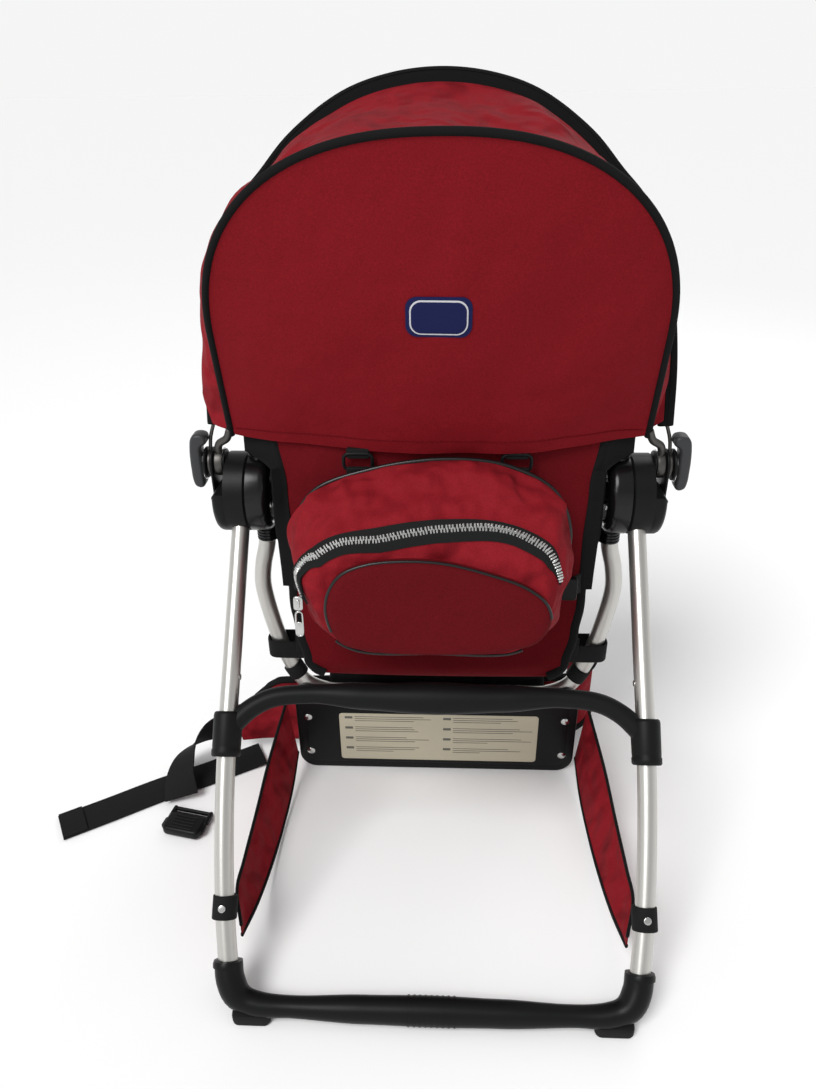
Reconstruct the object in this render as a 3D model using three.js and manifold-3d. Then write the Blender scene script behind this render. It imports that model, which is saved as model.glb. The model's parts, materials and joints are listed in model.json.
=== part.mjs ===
// Baby carrier backpack standing on its opened rear stand.
// Millimetres, +Z up, +X to the object's right as seen from behind, +Y towards the wearer.
// The origin is on the floor, under the middle of the object's box (loose straps left out).

import * as THREE from 'three';
import { mergeVertices } from 'three/addons/utils/BufferGeometryUtils.js';
import Module from 'manifold-3d';

const wasm = await Module();
wasm.setup();

// ---------------------------------------------------------------- driving dimensions

const GAP = 0.3;
const TUBE_R = 8.75;
const TUBE_SIDES = 10;
const MAIN_STEPS = 40;
const SHOULDER_STEPS = 30;

const HINGE_Z = 362;
const HUB_R = 40;
const HUB_INNER = [163.5, 186];
const HUB_OUTER = [186.4, 218.5];
const BOLT_R = 6;
const NOTCH_X = 206.5;
const NOTCH_Z = 13;

const STAND_LEAN = THREE.MathUtils.degToRad(42.3);
const STAND_FOLD = THREE.MathUtils.degToRad(31);
const STAND_X = 195.5;
const HANDLE_REACH = 203;
const FOOT_REACH = 471.5;
const CLAMP_REACH = 391;

const MAIN_X = 176.5;
const MAIN_BOTTOM = 107;
const SHOULDER_TOP = 577;

const PLATE_HALF = 162;
const PLATE_TOP = 124;
const PLATE_T = 5;
const PLATE_Y = -14;

const CANOPY_Y = -2;
const CANOPY_Z = HINGE_Z + 32;
const REAR_TILT = THREE.MathUtils.degToRad(15);
const FRONT_TILT = THREE.MathUtils.degToRad(11.2);
const REAR_R = 4;
const CASING = [15, 6];
const CASING_START = 38;

const SEAT_SWEEP = 184;
const SEAT_T = 6;
const BAG_Y = -64;
const BAG_Z = 336;
const BAG_TILT = THREE.MathUtils.degToRad(12);
const BAG_DEPTH = 68;
const POCKET_DEPTH = 13;

const WEBBING = 38;
const WEBBING_T = 2.4;

// ---------------------------------------------------------------- materials

const paint = (color, roughness, metalness = 0) =>
  new THREE.MeshStandardMaterial({ color, roughness, metalness });

const satinAluminium = () => paint(0xc9c7c2, 0.35, 0.9);
const steel = () => paint(0xb8b8ba, 0.3, 0.95);
const blackPlastic = () => paint(0x1c1d20, 0.45);
const softGrip = () => paint(0x2b2d30, 0.7);
const rubber = () => paint(0x151515, 0.85);
const redCloth = () => paint(0x8c1726, 0.85);
const darkRedCloth = () => paint(0x6e0d1a, 0.85);
const blackCloth = () => paint(0x17181a, 0.9);
const label = () => paint(0xcfc5a8, 0.6);

// ---------------------------------------------------------------- geometry helpers

const V = (x, y, z) => new THREE.Vector3(x, y, z);
const lerp = THREE.MathUtils.lerp;
const clamp01 = (value) => THREE.MathUtils.clamp(value, 0, 1);

/** Reads a smooth value from a short list of [place, value] pairs. */
function along(table, place) {
  const last = table.length - 1;
  if (place <= table[0][0]) return table[0][1];
  if (place >= table[last][0]) return table[last][1];
  const i = table.findIndex(([at]) => at >= place) - 1;
  const t = (place - table[i][0]) / (table[i + 1][0] - table[i][0]);
  return lerp(table[i][1], table[i + 1][1], t * t * (3 - 2 * t));
}

/** The signed volume of an indexed geometry, negative when its faces point inwards. */
function signedVolume(geometry) {
  const point = geometry.attributes.position;
  const index = geometry.index;
  const [a, b, c] = [V(), V(), V()];
  let sum = 0;
  for (let i = 0; i < index.count; i += 3) {
    a.fromBufferAttribute(point, index.getX(i));
    b.fromBufferAttribute(point, index.getX(i + 1));
    c.fromBufferAttribute(point, index.getX(i + 2));
    sum += a.dot(b.cross(c)) / 6;
  }
  return sum;
}

/** Keeps only merged positions and turns every face outwards. */
function closed(geometry) {
  const bare = geometry.clone();
  bare.deleteAttribute('normal');
  bare.deleteAttribute('uv');
  const merged = mergeVertices(bare, 1e-4);
  if (signedVolume(merged) < 0) {
    const index = merged.index.array;
    for (let i = 0; i < index.length; i += 3) {
      [index[i], index[i + 1]] = [index[i + 1], index[i]];
    }
  }
  return merged;
}

function fromTriangles(points, triangles) {
  const geometry = new THREE.BufferGeometry();
  const flat = points.flatMap((p) => [p.x, p.y, p.z]);
  geometry.setAttribute('position', new THREE.Float32BufferAttribute(flat, 3));
  geometry.setIndex(triangles);
  return closed(geometry);
}

function toManifold(geometry) {
  const merged = closed(geometry);
  return new wasm.Manifold(new wasm.Mesh({
    numProp: 3,
    vertProperties: new Float32Array(merged.attributes.position.array),
    triVerts: new Uint32Array(merged.index.array),
  }));
}

function fromManifold(solid) {
  const mesh = solid.getMesh();
  const geometry = new THREE.BufferGeometry();
  geometry.setAttribute('position', new THREE.BufferAttribute(mesh.vertProperties, 3));
  geometry.setIndex(new THREE.BufferAttribute(mesh.triVerts, 1));
  return geometry;
}

const join = (first, ...rest) =>
  fromManifold(rest.reduce((sum, next) => sum.add(toManifold(next)), toManifold(first)));
const cut = (first, ...rest) =>
  fromManifold(rest.reduce((left, next) => left.subtract(toManifold(next)), toManifold(first)));

/** Turns a profile of [distance along X, radius] pairs about the X axis. */
function turned(profile, segments = 20) {
  const outline = [...profile, profile[0]].map(([x, r]) => new THREE.Vector2(r, x));
  return new THREE.LatheGeometry(outline, segments).rotateZ(-Math.PI / 2);
}

function disc(x0, x1, radius, y = 0, z = 0, segments = 14) {
  return turned([[x0, 0], [x0, radius], [x1, radius], [x1, 0]], segments).translate(0, y, z);
}

function circleShape(radius, sides = TUBE_SIDES) {
  const points = [];
  for (let i = 0; i < sides; i += 1) {
    const angle = (2 * Math.PI * i) / sides;
    points.push(new THREE.Vector2(radius * Math.cos(angle), radius * Math.sin(angle)));
  }
  return new THREE.Shape(points);
}

/** A round bar along a smooth curve through the points. */
function bar(points, radius, steps, sides = TUBE_SIDES) {
  const path = new THREE.CatmullRomCurve3(points, false, 'centripetal');
  const options = { steps, bevelEnabled: false, extrudePath: path };
  return new THREE.ExtrudeGeometry(circleShape(radius, sides), options);
}

/** The same points with both ends moved outwards, for the hole that a bar sits in. */
function lengthened(points, by) {
  const last = points.length - 1;
  const start = points[0].clone().sub(points[1]).setLength(by).add(points[0]);
  const end = points[last].clone().sub(points[last - 1]).setLength(by).add(points[last]);
  return [start, ...points.slice(1, last), end];
}

/** Closes a stack of equal, convex rings of points into one solid. */
function loft(rings) {
  const n = rings[0].length;
  const triangles = [];
  for (let r = 0; r < rings.length - 1; r += 1) {
    for (let i = 0; i < n; i += 1) {
      const a = r * n + i;
      const b = r * n + ((i + 1) % n);
      triangles.push(a, b, b + n, a, b + n, a + n);
    }
  }
  const end = (rings.length - 1) * n;
  for (let i = 1; i < n - 1; i += 1) {
    triangles.push(0, i + 1, i, end, end + i, end + i + 1);
  }
  return fromTriangles(rings.flat(), triangles);
}

/** A bar of changing oval section: width across the path's plane, height in it. */
function ovalBar(points, steps, sizeAt, planeNormal, sides = 10) {
  const path = new THREE.CatmullRomCurve3(points, false, 'centripetal');
  const rings = [];
  for (let i = 0; i <= steps; i += 1) {
    const t = i / steps;
    const centre = path.getPointAt(t);
    const [high, wide] = sizeAt(t, centre);
    const up = planeNormal.clone().cross(path.getTangentAt(t)).normalize();
    const ring = [];
    for (let k = 0; k < sides; k += 1) {
      const angle = (2 * Math.PI * k) / sides;
      const point = centre.clone().addScaledVector(up, high * Math.cos(angle));
      ring.push(point.addScaledVector(planeNormal, wide * Math.sin(angle)));
    }
    rings.push(ring);
  }
  return loft(rings);
}

/** A sheet of cloth: point(u, v) with u and v from 0 to 1, thickened to its back. */
function sheet(point, columns, rows, thickness) {
  const front = [];
  const back = [];
  const step = 1e-3;
  for (let i = 0; i <= columns; i += 1) {
    for (let j = 0; j <= rows; j += 1) {
      const u = i / columns;
      const v = j / rows;
      const here = point(u, v);
      const du = point(clamp01(u + step), v).sub(point(clamp01(u - step), v));
      const dv = point(u, clamp01(v + step)).sub(point(u, clamp01(v - step)));
      const normal = du.cross(dv).normalize();
      front.push(here);
      back.push(here.clone().addScaledVector(normal, thickness));
    }
  }
  const triangles = [];
  const offset = front.length;
  const at = (i, j) => i * (rows + 1) + j;
  const quad = (a, b, c, d) => triangles.push(a, b, c, a, c, d);
  for (let i = 0; i < columns; i += 1) {
    for (let j = 0; j < rows; j += 1) {
      quad(at(i, j), at(i, j + 1), at(i + 1, j + 1), at(i + 1, j));
      quad(at(i, j) + offset, at(i + 1, j) + offset, at(i + 1, j + 1) + offset, at(i, j + 1) + offset);
    }
    quad(at(i, 0), at(i + 1, 0), at(i + 1, 0) + offset, at(i, 0) + offset);
    quad(at(i, rows), at(i, rows) + offset, at(i + 1, rows) + offset, at(i + 1, rows));
  }
  for (let j = 0; j < rows; j += 1) {
    quad(at(0, j), at(0, j) + offset, at(0, j + 1) + offset, at(0, j + 1));
    quad(at(columns, j), at(columns, j + 1), at(columns, j + 1) + offset, at(columns, j) + offset);
  }
  return fromTriangles([...front, ...back], triangles);
}

/** A flat strap through the points, with its width along `side`. */
function strap(points, side, width, thickness, steps) {
  const path = new THREE.CatmullRomCurve3(points, false, 'centripetal');
  const rings = [];
  for (let i = 0; i <= steps; i += 1) {
    const t = i / steps;
    const centre = path.getPointAt(t);
    const tangent = path.getTangentAt(t);
    const wanted = side(t);
    const across = wanted.clone().addScaledVector(tangent, -wanted.dot(tangent)).normalize();
    const normal = across.clone().cross(tangent).normalize();
    const corner = (a, n) => centre.clone()
      .addScaledVector(across, (a * width) / 2)
      .addScaledVector(normal, (n * thickness) / 2);
    rings.push([corner(-1, -1), corner(1, -1), corner(1, 1), corner(-1, 1)]);
  }
  return loft(rings);
}

/** A rounded rectangle centred on x, y. */
function roundedRect(width, height, radius, x = 0, y = 0) {
  const shape = new THREE.Shape();
  const [w, h] = [width / 2, height / 2];
  shape.moveTo(x - w + radius, y - h);
  shape.lineTo(x + w - radius, y - h);
  shape.absarc(x + w - radius, y - h + radius, radius, -Math.PI / 2, 0);
  shape.lineTo(x + w, y + h - radius);
  shape.absarc(x + w - radius, y + h - radius, radius, 0, Math.PI / 2);
  shape.lineTo(x - w + radius, y + h);
  shape.absarc(x - w + radius, y + h - radius, radius, Math.PI / 2, Math.PI);
  shape.lineTo(x - w, y - h + radius);
  shape.absarc(x - w + radius, y - h + radius, radius, Math.PI, 1.5 * Math.PI);
  return shape;
}

/** A slab: the shape is drawn in X and Z, and its thickness runs along +Y from y0. */
function slab(shape, y0, thickness, curveSegments = 3) {
  const options = { depth: thickness, bevelEnabled: false, curveSegments };
  return new THREE.ExtrudeGeometry(shape, options).rotateX(Math.PI / 2).translate(0, y0 + thickness, 0);
}

function mirrored(geometry, side) {
  return side > 0 ? closed(geometry) : closed(geometry.clone().scale(-1, 1, 1));
}

/** One named part. */
function part(name, geometry, material) {
  const mesh = new THREE.Mesh(closed(geometry), material);
  mesh.name = name;
  return mesh;
}

/** The same part on both sides, built for the +X side. */
function pair(name, build, material) {
  return [[-1, 'left'], [1, 'right']].map(([side, word]) =>
    part(`${name}_${word}`, mirrored(build(), side), material()));
}

/** Points listed from the +X side's end to the middle, continued to the -X side. */
function acrossMiddle(points) {
  const other = points.slice(0, -1).reverse().map((p) => V(-p.x, p.y, p.z));
  return [...points, ...other];
}

// ---------------------------------------------------------------- main frame

const MAIN_PATH = acrossMiddle([
  V(MAIN_X, 0, HINGE_Z - 13),
  V(MAIN_X, 0, HINGE_Z - 57),
  V(183, 0, HINGE_Z - 84),
  V(186, 0, HINGE_Z - 107),
  V(184, 0, HINGE_Z - 132),
  V(174.5, 0, HINGE_Z - 182),
  V(163, 0, HINGE_Z - 218),
  V(150, 0, MAIN_BOTTOM + 13),
  V(125, 0, MAIN_BOTTOM + 0.5),
  V(88, 0, MAIN_BOTTOM),
  V(0, 0, MAIN_BOTTOM),
]);

const SHOULDER_PATH = acrossMiddle([
  V(MAIN_X, 0, HINGE_Z + 13),
  V(MAIN_X, 3, HINGE_Z + 60),
  V(175, 19, HINGE_Z + 130),
  V(166, 33, HINGE_Z + 182),
  V(140, 38.5, SHOULDER_TOP - 7),
  V(105, 40, SHOULDER_TOP),
  V(0, 40, SHOULDER_TOP),
]);

const mainTube = () => bar(MAIN_PATH, TUBE_R, MAIN_STEPS);
const shoulderTube = () => bar(SHOULDER_PATH, TUBE_R, SHOULDER_STEPS);

/** The inner half of a hub, with a collar round each of the two frame tubes. */
function innerHub() {
  const [x0, x1] = HUB_INNER;
  const edge = 4;
  const barrel = turned([
    [x0, BOLT_R + 0.5], [x0, HUB_R - edge], [x0 + edge, HUB_R], [x1, HUB_R], [x1, BOLT_R + 0.5],
  ]).translate(0, 0, HINGE_Z);
  const collar = (z0, z1) => new THREE.CylinderGeometry(11.3, 11.3, z1 - z0, 14)
    .rotateX(Math.PI / 2).translate(MAIN_X - 1.9, 0, (z0 + z1) / 2);
  return cut(
    join(barrel, collar(HINGE_Z - 53, HINGE_Z - 32), collar(HINGE_Z + 32, HINGE_Z + 50)),
    bar(lengthened(MAIN_PATH, GAP), TUBE_R + GAP, MAIN_STEPS),
    bar(lengthened(SHOULDER_PATH, GAP), TUBE_R + GAP, SHOULDER_STEPS),
    disc(x0 - 1, x1 + 1, BOLT_R + 0.5, 0, HINGE_Z),
  );
}

/** The pivot bolt: a domed head against the inner hub and a plain shank through both hubs. */
function pivotBolt() {
  const head = HUB_INNER[0] - GAP;
  return turned([
    [head - 4.5, 0], [head - 4.5, 7], [head - 2.5, 11], [head, 11], [head, BOLT_R],
    [HUB_OUTER[1] - GAP, BOLT_R], [HUB_OUTER[1] - GAP, 0],
  ], 14).translate(0, 0, HINGE_Z);
}

/** The plate, pin and block outboard of the hub that carry both canopy hoops. */
function canopyMount() {
  const plate = HUB_OUTER[1] + GAP;
  const outline = new THREE.Shape();
  outline.absarc(0, HINGE_Z, 17, Math.PI, 2 * Math.PI);
  outline.absarc(CANOPY_Y, CANOPY_Z, 15.5, 0, Math.PI);
  const web = new THREE.ExtrudeGeometry(outline, { depth: 2.4, bevelEnabled: false, curveSegments: 6 });
  web.rotateX(Math.PI / 2).rotateZ(Math.PI / 2).translate(plate, 0, 0);
  const pin = disc(NOTCH_X + 1, 229, 4.5, CANOPY_Y, CANOPY_Z);
  const flange = disc(NOTCH_X + 1, NOTCH_X + 2.6, 12.5, CANOPY_Y, CANOPY_Z);
  const block = disc(225.4, 229.4, 15.5, CANOPY_Y, CANOPY_Z);
  return join(web, pin, flange, block);
}

/** The lumbar plate: its straight lower edge is the front foot. */
function lumbarPlate() {
  const shape = roundedRect(2 * PLATE_HALF, PLATE_TOP, 20, 0, PLATE_TOP / 2);
  return slab(shape, PLATE_Y, PLATE_T, 6);
}

/** A pan-head screw whose shank stops short of the tube. */
function plateScrew(x, z) {
  const head = new THREE.LatheGeometry([
    new THREE.Vector2(0, 2.4), new THREE.Vector2(2.8, 2.1), new THREE.Vector2(4.4, 0.9),
    new THREE.Vector2(4.6, 0), new THREE.Vector2(0, 0),
  ], 8);
  return head.rotateX(Math.PI).translate(x, PLATE_Y - GAP, z);
}

const infoLabel = () => slab(roundedRect(230, 70, 4, 3, 50), PLATE_Y - 0.9, 0.6);

// ---------------------------------------------------------------- child seat

const SEAT_SPINE = [[207, -86], [240, -80], [320, -63], [427, -40], [520, -20]];
const SEAT_HALF = [[207, 127], [240, 133], [270, 138], [320, 138], [380, 140], [430, 147], [520, 132]];
const SEAT_WRAP = [[207, 8], [300, 14], [380, 20], [520, 22]];

const spineAt = (z) => {
  const i = Math.max(0, SEAT_SPINE.findIndex(([at]) => at >= z) - 1);
  const [z0, y0] = SEAT_SPINE[i];
  const [z1, y1] = SEAT_SPINE[i + 1];
  return lerp(y0, y1, (z - z0) / (z1 - z0));
};

/** The outer face of the seat back, u from -1 to 1 across. */
function seatBackPoint(u, z) {
  const x = u * along(SEAT_HALF, z);
  return V(x, spineAt(z) + along(SEAT_WRAP, z) * u * u, z);
}

const seatBack = () => sheet((u, v) => seatBackPoint(2 * u - 1, lerp(207, 520, v)), 8, 8, -SEAT_T);

/** The black side wing between the seat back's edge and the wearer's panel. */
function seatSide() {
  return sheet((u, v) => {
    const z = lerp(lerp(302, 318, u), lerp(505, 470, u), v);
    const edge = seatBackPoint(1, z);
    const x = lerp(edge.x + 4, 153, Math.min(1, 2.2 * u)) + 2 * Math.sin(Math.PI * u);
    return V(Math.min(x, 154), lerp(edge.y + 4, 44, u), z);
  }, 5, 4, 3.5);
}

/** The seat bottom follows an arc about the hinge, so the handle can swing under it. */
function seatBottom() {
  const rear = THREE.MathUtils.degToRad(26);
  const front = THREE.MathUtils.degToRad(-13.5);
  return sheet((u, v) => {
    const angle = lerp(rear, front, v);
    const x = lerp(-1, 1, u) * lerp(112, 122, v);
    return V(x, -SEAT_SWEEP * Math.sin(angle), HINGE_Z - SEAT_SWEEP * Math.cos(angle));
  }, 4, 7, SEAT_T);
}

/** A shoulder strap of the child's harness, lying on the seat back. */
function harnessStrap() {
  const points = [490, 430, 360, 290, 240].map((z, i) =>
    V(lerp(58, 26, i / 4), spineAt(z) + SEAT_T + 9, z));
  return strap(points, () => V(1, 0, 0), 25, 2, 12);
}

/** A webbing loop that ties the seat's lower side to the main tube. */
function tubeLoop() {
  const outline = roundedRect(60, 25, 10, 157.5, 0);
  outline.holes.push(roundedRect(55, 20, 8, 157.5, 0));
  const band = new THREE.ExtrudeGeometry(outline, { depth: 22, bevelEnabled: false, curveSegments: 3 });
  return band.translate(0, 0, HINGE_Z - 201);
}

// ---------------------------------------------------------------- wearer's side

/** A padded slab between two heights with crowned faces. */
function pad(halfAt, z0, z1, backAt, thickness) {
  return sheet((u, v) => {
    const z = lerp(z0, z1, v);
    return V(lerp(1, -1, u) * halfAt(z), backAt(z), z);
  }, 4, 7, thickness);
}

const backPanel = () => pad(
  (z) => along([[120, 110], [200, 122], [420, 126], [566, 104]], z), 120, 566, () => 50, 16);

const lumbarPad = () => pad(() => 124, 14, 110, () => 12, 20);

/** A hip wing: a padded flap along a plan curve, lower towards its end. */
function hipWing(plan) {
  const path = new THREE.CatmullRomCurve3(plan, false, 'centripetal');
  return sheet((u, v) => {
    const at = path.getPointAt(u);
    const low = along([[0, 16], [1, 20]], u);
    const high = along([[0, 104], [0.5, 100], [1, 62]], u);
    return V(at.x, at.y, lerp(low, high, v));
  }, 8, 2, -11);
}

const HIP_LEFT = [V(-125, 19, 0), V(-165, 21, 0), V(-205, 19, 0), V(-238, 14, 0)];
const HIP_RIGHT = [V(125, 30, 0), V(160, 36, 0), V(188, 62, 0), V(194, 100, 0), V(180, 138, 0)];

/** A padded shoulder strap that narrows to webbing at its lower end. */
function shoulderStrap() {
  const path = new THREE.CatmullRomCurve3([
    V(62, 76, 548), V(68, 112, 542), V(80, 146, 500), V(92, 154, 430), V(100, 138, 340),
    V(103, 108, 262), V(104, 82, 205), V(104, 75, 178),
  ], false, 'centripetal');
  const steps = 14;
  const rings = [];
  for (let i = 0; i <= steps; i += 1) {
    const t = i / steps;
    const centre = path.getPointAt(t);
    const tangent = path.getTangentAt(t);
    const across = V(1, 0, 0).addScaledVector(tangent, -tangent.x).normalize();
    const normal = across.clone().cross(tangent);
    const wide = along([[0, 26], [0.2, 31], [0.6, 29], [0.75, 13], [1, 13]], t);
    const thick = along([[0, 6], [0.6, 6], [0.75, 1.6], [1, 1.6]], t);
    const ring = [];
    for (let k = 0; k < 8; k += 1) {
      const angle = (2 * Math.PI * k) / 8;
      ring.push(centre.clone().addScaledVector(across, wide * Math.cos(angle))
        .addScaledVector(normal, thick * Math.sin(angle)));
    }
    rings.push(ring);
  }
  return loft(rings);
}

const sternumStrap = () => strap(
  acrossMiddle([V(57, 150, 446), V(34, 156, 446), V(0, 158, 446)]), () => V(0, 0, 1), 20, 1.8, 10);

/** The sternum strap's buckle, in front of the strap. */
const sternumBuckle = () => slab(roundedRect(46, 28, 6, 0, 446), 160, 7);

// ---------------------------------------------------------------- storage bag

const BAG_OUTLINE = new THREE.CatmullRomCurve3([
  V(0, 0, 84), V(58, 0, 77), V(106, 0, 52), V(127, 0, 14), V(120, 0, -30), V(106, 0, -68),
  V(80, 0, -86), V(0, 0, -88), V(-80, 0, -86), V(-106, 0, -68), V(-120, 0, -30), V(-127, 0, 14),
  V(-106, 0, 52), V(-58, 0, 77),
], true, 'centripetal');
const BAG_HEIGHT = [[0, 0.98], [6, 1], [24, 0.97], [46, 0.86], [62, 0.74], [BAG_DEPTH, 0.6]];
const BAG_WIDTH = [[0, 0.98], [6, 1], [46, 1], [62, 0.94], [BAG_DEPTH, 0.82]];
const BAG_BASE = -88;

/** A point of the bag's skin: turn from 0 to 1 round the outline, depth out from the seat. */
function bagPoint(turn, depth, outwards = 0) {
  const rim = BAG_OUTLINE.getPointAt(((turn % 1) + 1) % 1);
  const grow = 1 + outwards / 110;
  const z = BAG_BASE + (rim.z - BAG_BASE) * along(BAG_HEIGHT, depth);
  return V(rim.x * along(BAG_WIDTH, depth) * grow, -2 - depth, z * grow);
}

/** Closed rings round the bag at the given depths. */
function bagRings(depths, count = 22) {
  return depths.map((depth) =>
    Array.from({ length: count }, (_, i) => bagPoint(i / count, depth)));
}

const storageBag = () => loft(bagRings([0, 6, 24, 46, 58, BAG_DEPTH]));

/** The pocket on the bag's front face. */
function bagPocket() {
  const rings = [[0, 1], [8, 0.97], [POCKET_DEPTH, 0.82]].map(([depth, size]) =>
    Array.from({ length: 16 }, (_, i) => {
      const angle = (2 * Math.PI * i) / 16;
      const round = (value) => Math.sign(value) * Math.abs(value) ** 0.75;
      const x = 3 + 90 * size * round(Math.cos(angle));
      const z = -37 + 42 * size * round(Math.sin(angle));
      return V(x, -2 - BAG_DEPTH - GAP - depth, z);
    }));
  return loft(rings);
}

/** The zip: a strip that follows the bag's upper front edge. */
const ZIP_SPAN = 0.27;
function zipChain() {
  return sheet((u, v) => bagPoint(lerp(-ZIP_SPAN, ZIP_SPAN, u), lerp(48, 60, v), 2.2), 16, 1, -1.2);
}

const ZIP_END = bagPoint(-ZIP_SPAN - 0.022, 55, 8);

const zipSlider = () => new THREE.BoxGeometry(9, 5, 14).translate(ZIP_END.x, ZIP_END.y, ZIP_END.z);

/** The pull hangs from the slider's outer end. */
function zipPull() {
  const shape = roundedRect(7, 25, 3, ZIP_END.x, ZIP_END.z - 20.5);
  return slab(shape, ZIP_END.y - 1, 2);
}

/** A D-ring lying on the seat back above the bag. */
function bagRing() {
  const outline = roundedRect(30, 19, 6, 73, 414);
  outline.holes.push(roundedRect(23, 12, 4, 73, 414));
  return slab(outline, -45.5, 3);
}

/** A side strap from the bag to the seat's edge. */
function bagStrap() {
  const points = [V(123, -77, 300), V(129, -74, 299), V(136, -68, 298)];
  return strap(points, () => V(0, 0.2, 1), 20, 2, 4);
}

// ---------------------------------------------------------------- canopy

const REAR_ARCH = { half: 199, straight: 137, rise: 164.6, power: 2.35 };

/** The rear hoop's centre line in its own plane, turn from -1 to 1 over the top. */
function rearArch(turn) {
  const side = Math.sign(turn);
  const down = Math.abs(turn);
  const { half, straight, rise, power } = REAR_ARCH;
  if (down > 0.62) {
    const h = lerp(straight, 34, (down - 0.62) / 0.38);
    return V(side * lerp(197, half, h / straight), 0, h);
  }
  const angle = (down / 0.62) * (Math.PI / 2);
  const x = half * Math.sin(angle) ** (2 / power);
  return V(side * x, 0, straight + rise * Math.cos(angle) ** (2 / power));
}

const FRONT_ARCH = new THREE.CatmullRomCurve3(acrossMiddle([
  V(217, 0, CASING_START), V(214.5, 0, 97), V(207, 0, 152), V(194, 0, 200), V(177, 0, 233),
  V(154, 0, 258), V(126, 0, 288), V(82, 0, 318), V(42, 0, 331), V(0, 0, 335.3),
]), false, 'centripetal');

/** A hoop's flat eye round the canopy pin. */
const eye = (x0, x1, radius) => cut(disc(x0, x1, radius), disc(x0 - 1, x1 + 1, 5));

function rearHoop() {
  const arch = Array.from({ length: 25 }, (_, i) => rearArch(i / 12 - 1));
  const foot = (side) => [V(side * 213.6, 0, 10), V(side * 213.6, 0, 16), V(side * 211, 0, 23), V(side * 202, 0, 29)];
  const path = [...foot(-1), ...arch, ...foot(1).reverse()];
  const wire = bar(path, REAR_R, 56, 8);
  return join(eye(210, 218, 13), wire, closed(eye(210, 218, 13).scale(-1, 1, 1)));
}

function frontHoop() {
  const [high, thick] = CASING.map((size) => size / 2);
  const flat = new THREE.Shape([
    [-thick, -high + 2], [-thick / 2, -high], [thick / 2, -high], [thick, -high + 2],
    [thick, high - 2], [thick / 2, high], [-thick / 2, high], [-thick, high - 2],
  ].map(([x, y]) => new THREE.Vector2(x, y)));
  const casing = new THREE.ExtrudeGeometry(flat, { steps: 40, bevelEnabled: false, extrudePath: FRONT_ARCH });
  const rod = bar([V(223.3, 0, 11), V(222, 0, 25), V(217, 0, CASING_START + 4)], 1.8, 3, 6);
  const ends = [1, -1].flatMap((side) => [
    mirrored(eye(221.6, 224.8, 12), side),
    mirrored(rod, side),
  ]);
  return join(casing, ...ends);
}

/** Turns a point of a hoop's plane to its place round the canopy pin. */
function tilted(point, tilt) {
  return point.clone().applyAxisAngle(V(1, 0, 0), tilt);
}

/** The rear curtain fills the rear hoop and hangs out over the seat back. */
function canopyCurtain() {
  return sheet((u, v) => {
    const across = Math.sin((u - 0.5) * Math.PI);
    const { straight, rise, power } = REAR_ARCH;
    const edge = 193.5;
    const top = straight + (rise - 5) * (1 - Math.abs(across) ** power) ** (1 / power);
    const h = lerp(36 + 5 * (1 - across ** 2), top, v);
    const x = across * (edge - 3 * (1 - clamp01(h / straight)));
    const bulge = (1 - v * v) * (1 - Math.abs(across) ** 1.8);
    return V(x, -36 * bulge - 6 * Math.sin(Math.PI * v) * (1 - across ** 4), h);
  }, 14, 6, 2);
}

/** The top sheet between the hoops. */
function canopyTop() {
  return sheet((u, v) => {
    const turn = lerp(-0.94, 0.94, u);
    const rear = tilted(rearArch(turn), REAR_TILT);
    const front = tilted(FRONT_ARCH.getPointAt(clamp01((1 - turn) / 2)), -FRONT_TILT);
    const run = front.clone().sub(rear);
    const start = (REAR_R + 2.5) / run.length();
    const end = 1 - 5.5 / run.length();
    return rear.addScaledVector(run, lerp(start, end, v));
  }, 26, 2, 1.6);
}

// ---------------------------------------------------------------- stand

const down = (s) => -s;
const STAND_PATH = [
  V(STAND_X, 0, down(12)), V(STAND_X, 0, down(150)), V(STAND_X, 0, down(245)), V(193, 0, down(320)),
  V(187.5, 0, down(CLAMP_REACH)), V(179.5, 0, down(450)),
];
const STAND_STEPS = 14;
const standTube = () => bar(STAND_PATH, TUBE_R, STAND_STEPS);
const standHole = () => bar(lengthened(STAND_PATH, GAP), TUBE_R + GAP, STAND_STEPS);

/** The outer half of a hub, notched where the canopy mount stays behind as the stand folds. */
function outerHub() {
  const [x0, x1] = HUB_OUTER;
  const barrel = turned([
    [x0, BOLT_R + 0.5], [x0, HUB_R], [x1 - 11, HUB_R], [x1 - 5, HUB_R - 3], [x1 - 1.5, HUB_R - 8],
    [x1, HUB_R - 14], [x1, BOLT_R + 0.5],
  ]);
  const notch = () => new THREE.BoxGeometry(40, 120, 120).translate(NOTCH_X + 20, 0, NOTCH_Z + 60);
  const sweep = STAND_FOLD + THREE.MathUtils.degToRad(3);
  return cut(
    barrel,
    disc(x0 - 1, x1 + 1, BOLT_R + 0.5),
    standHole(),
    notch().rotateX(STAND_LEAN),
    notch().rotateX(STAND_LEAN - sweep / 2),
    notch().rotateX(STAND_LEAN - sweep),
  );
}

const STAND_NORMAL = V(0, 1, 0);

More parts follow.
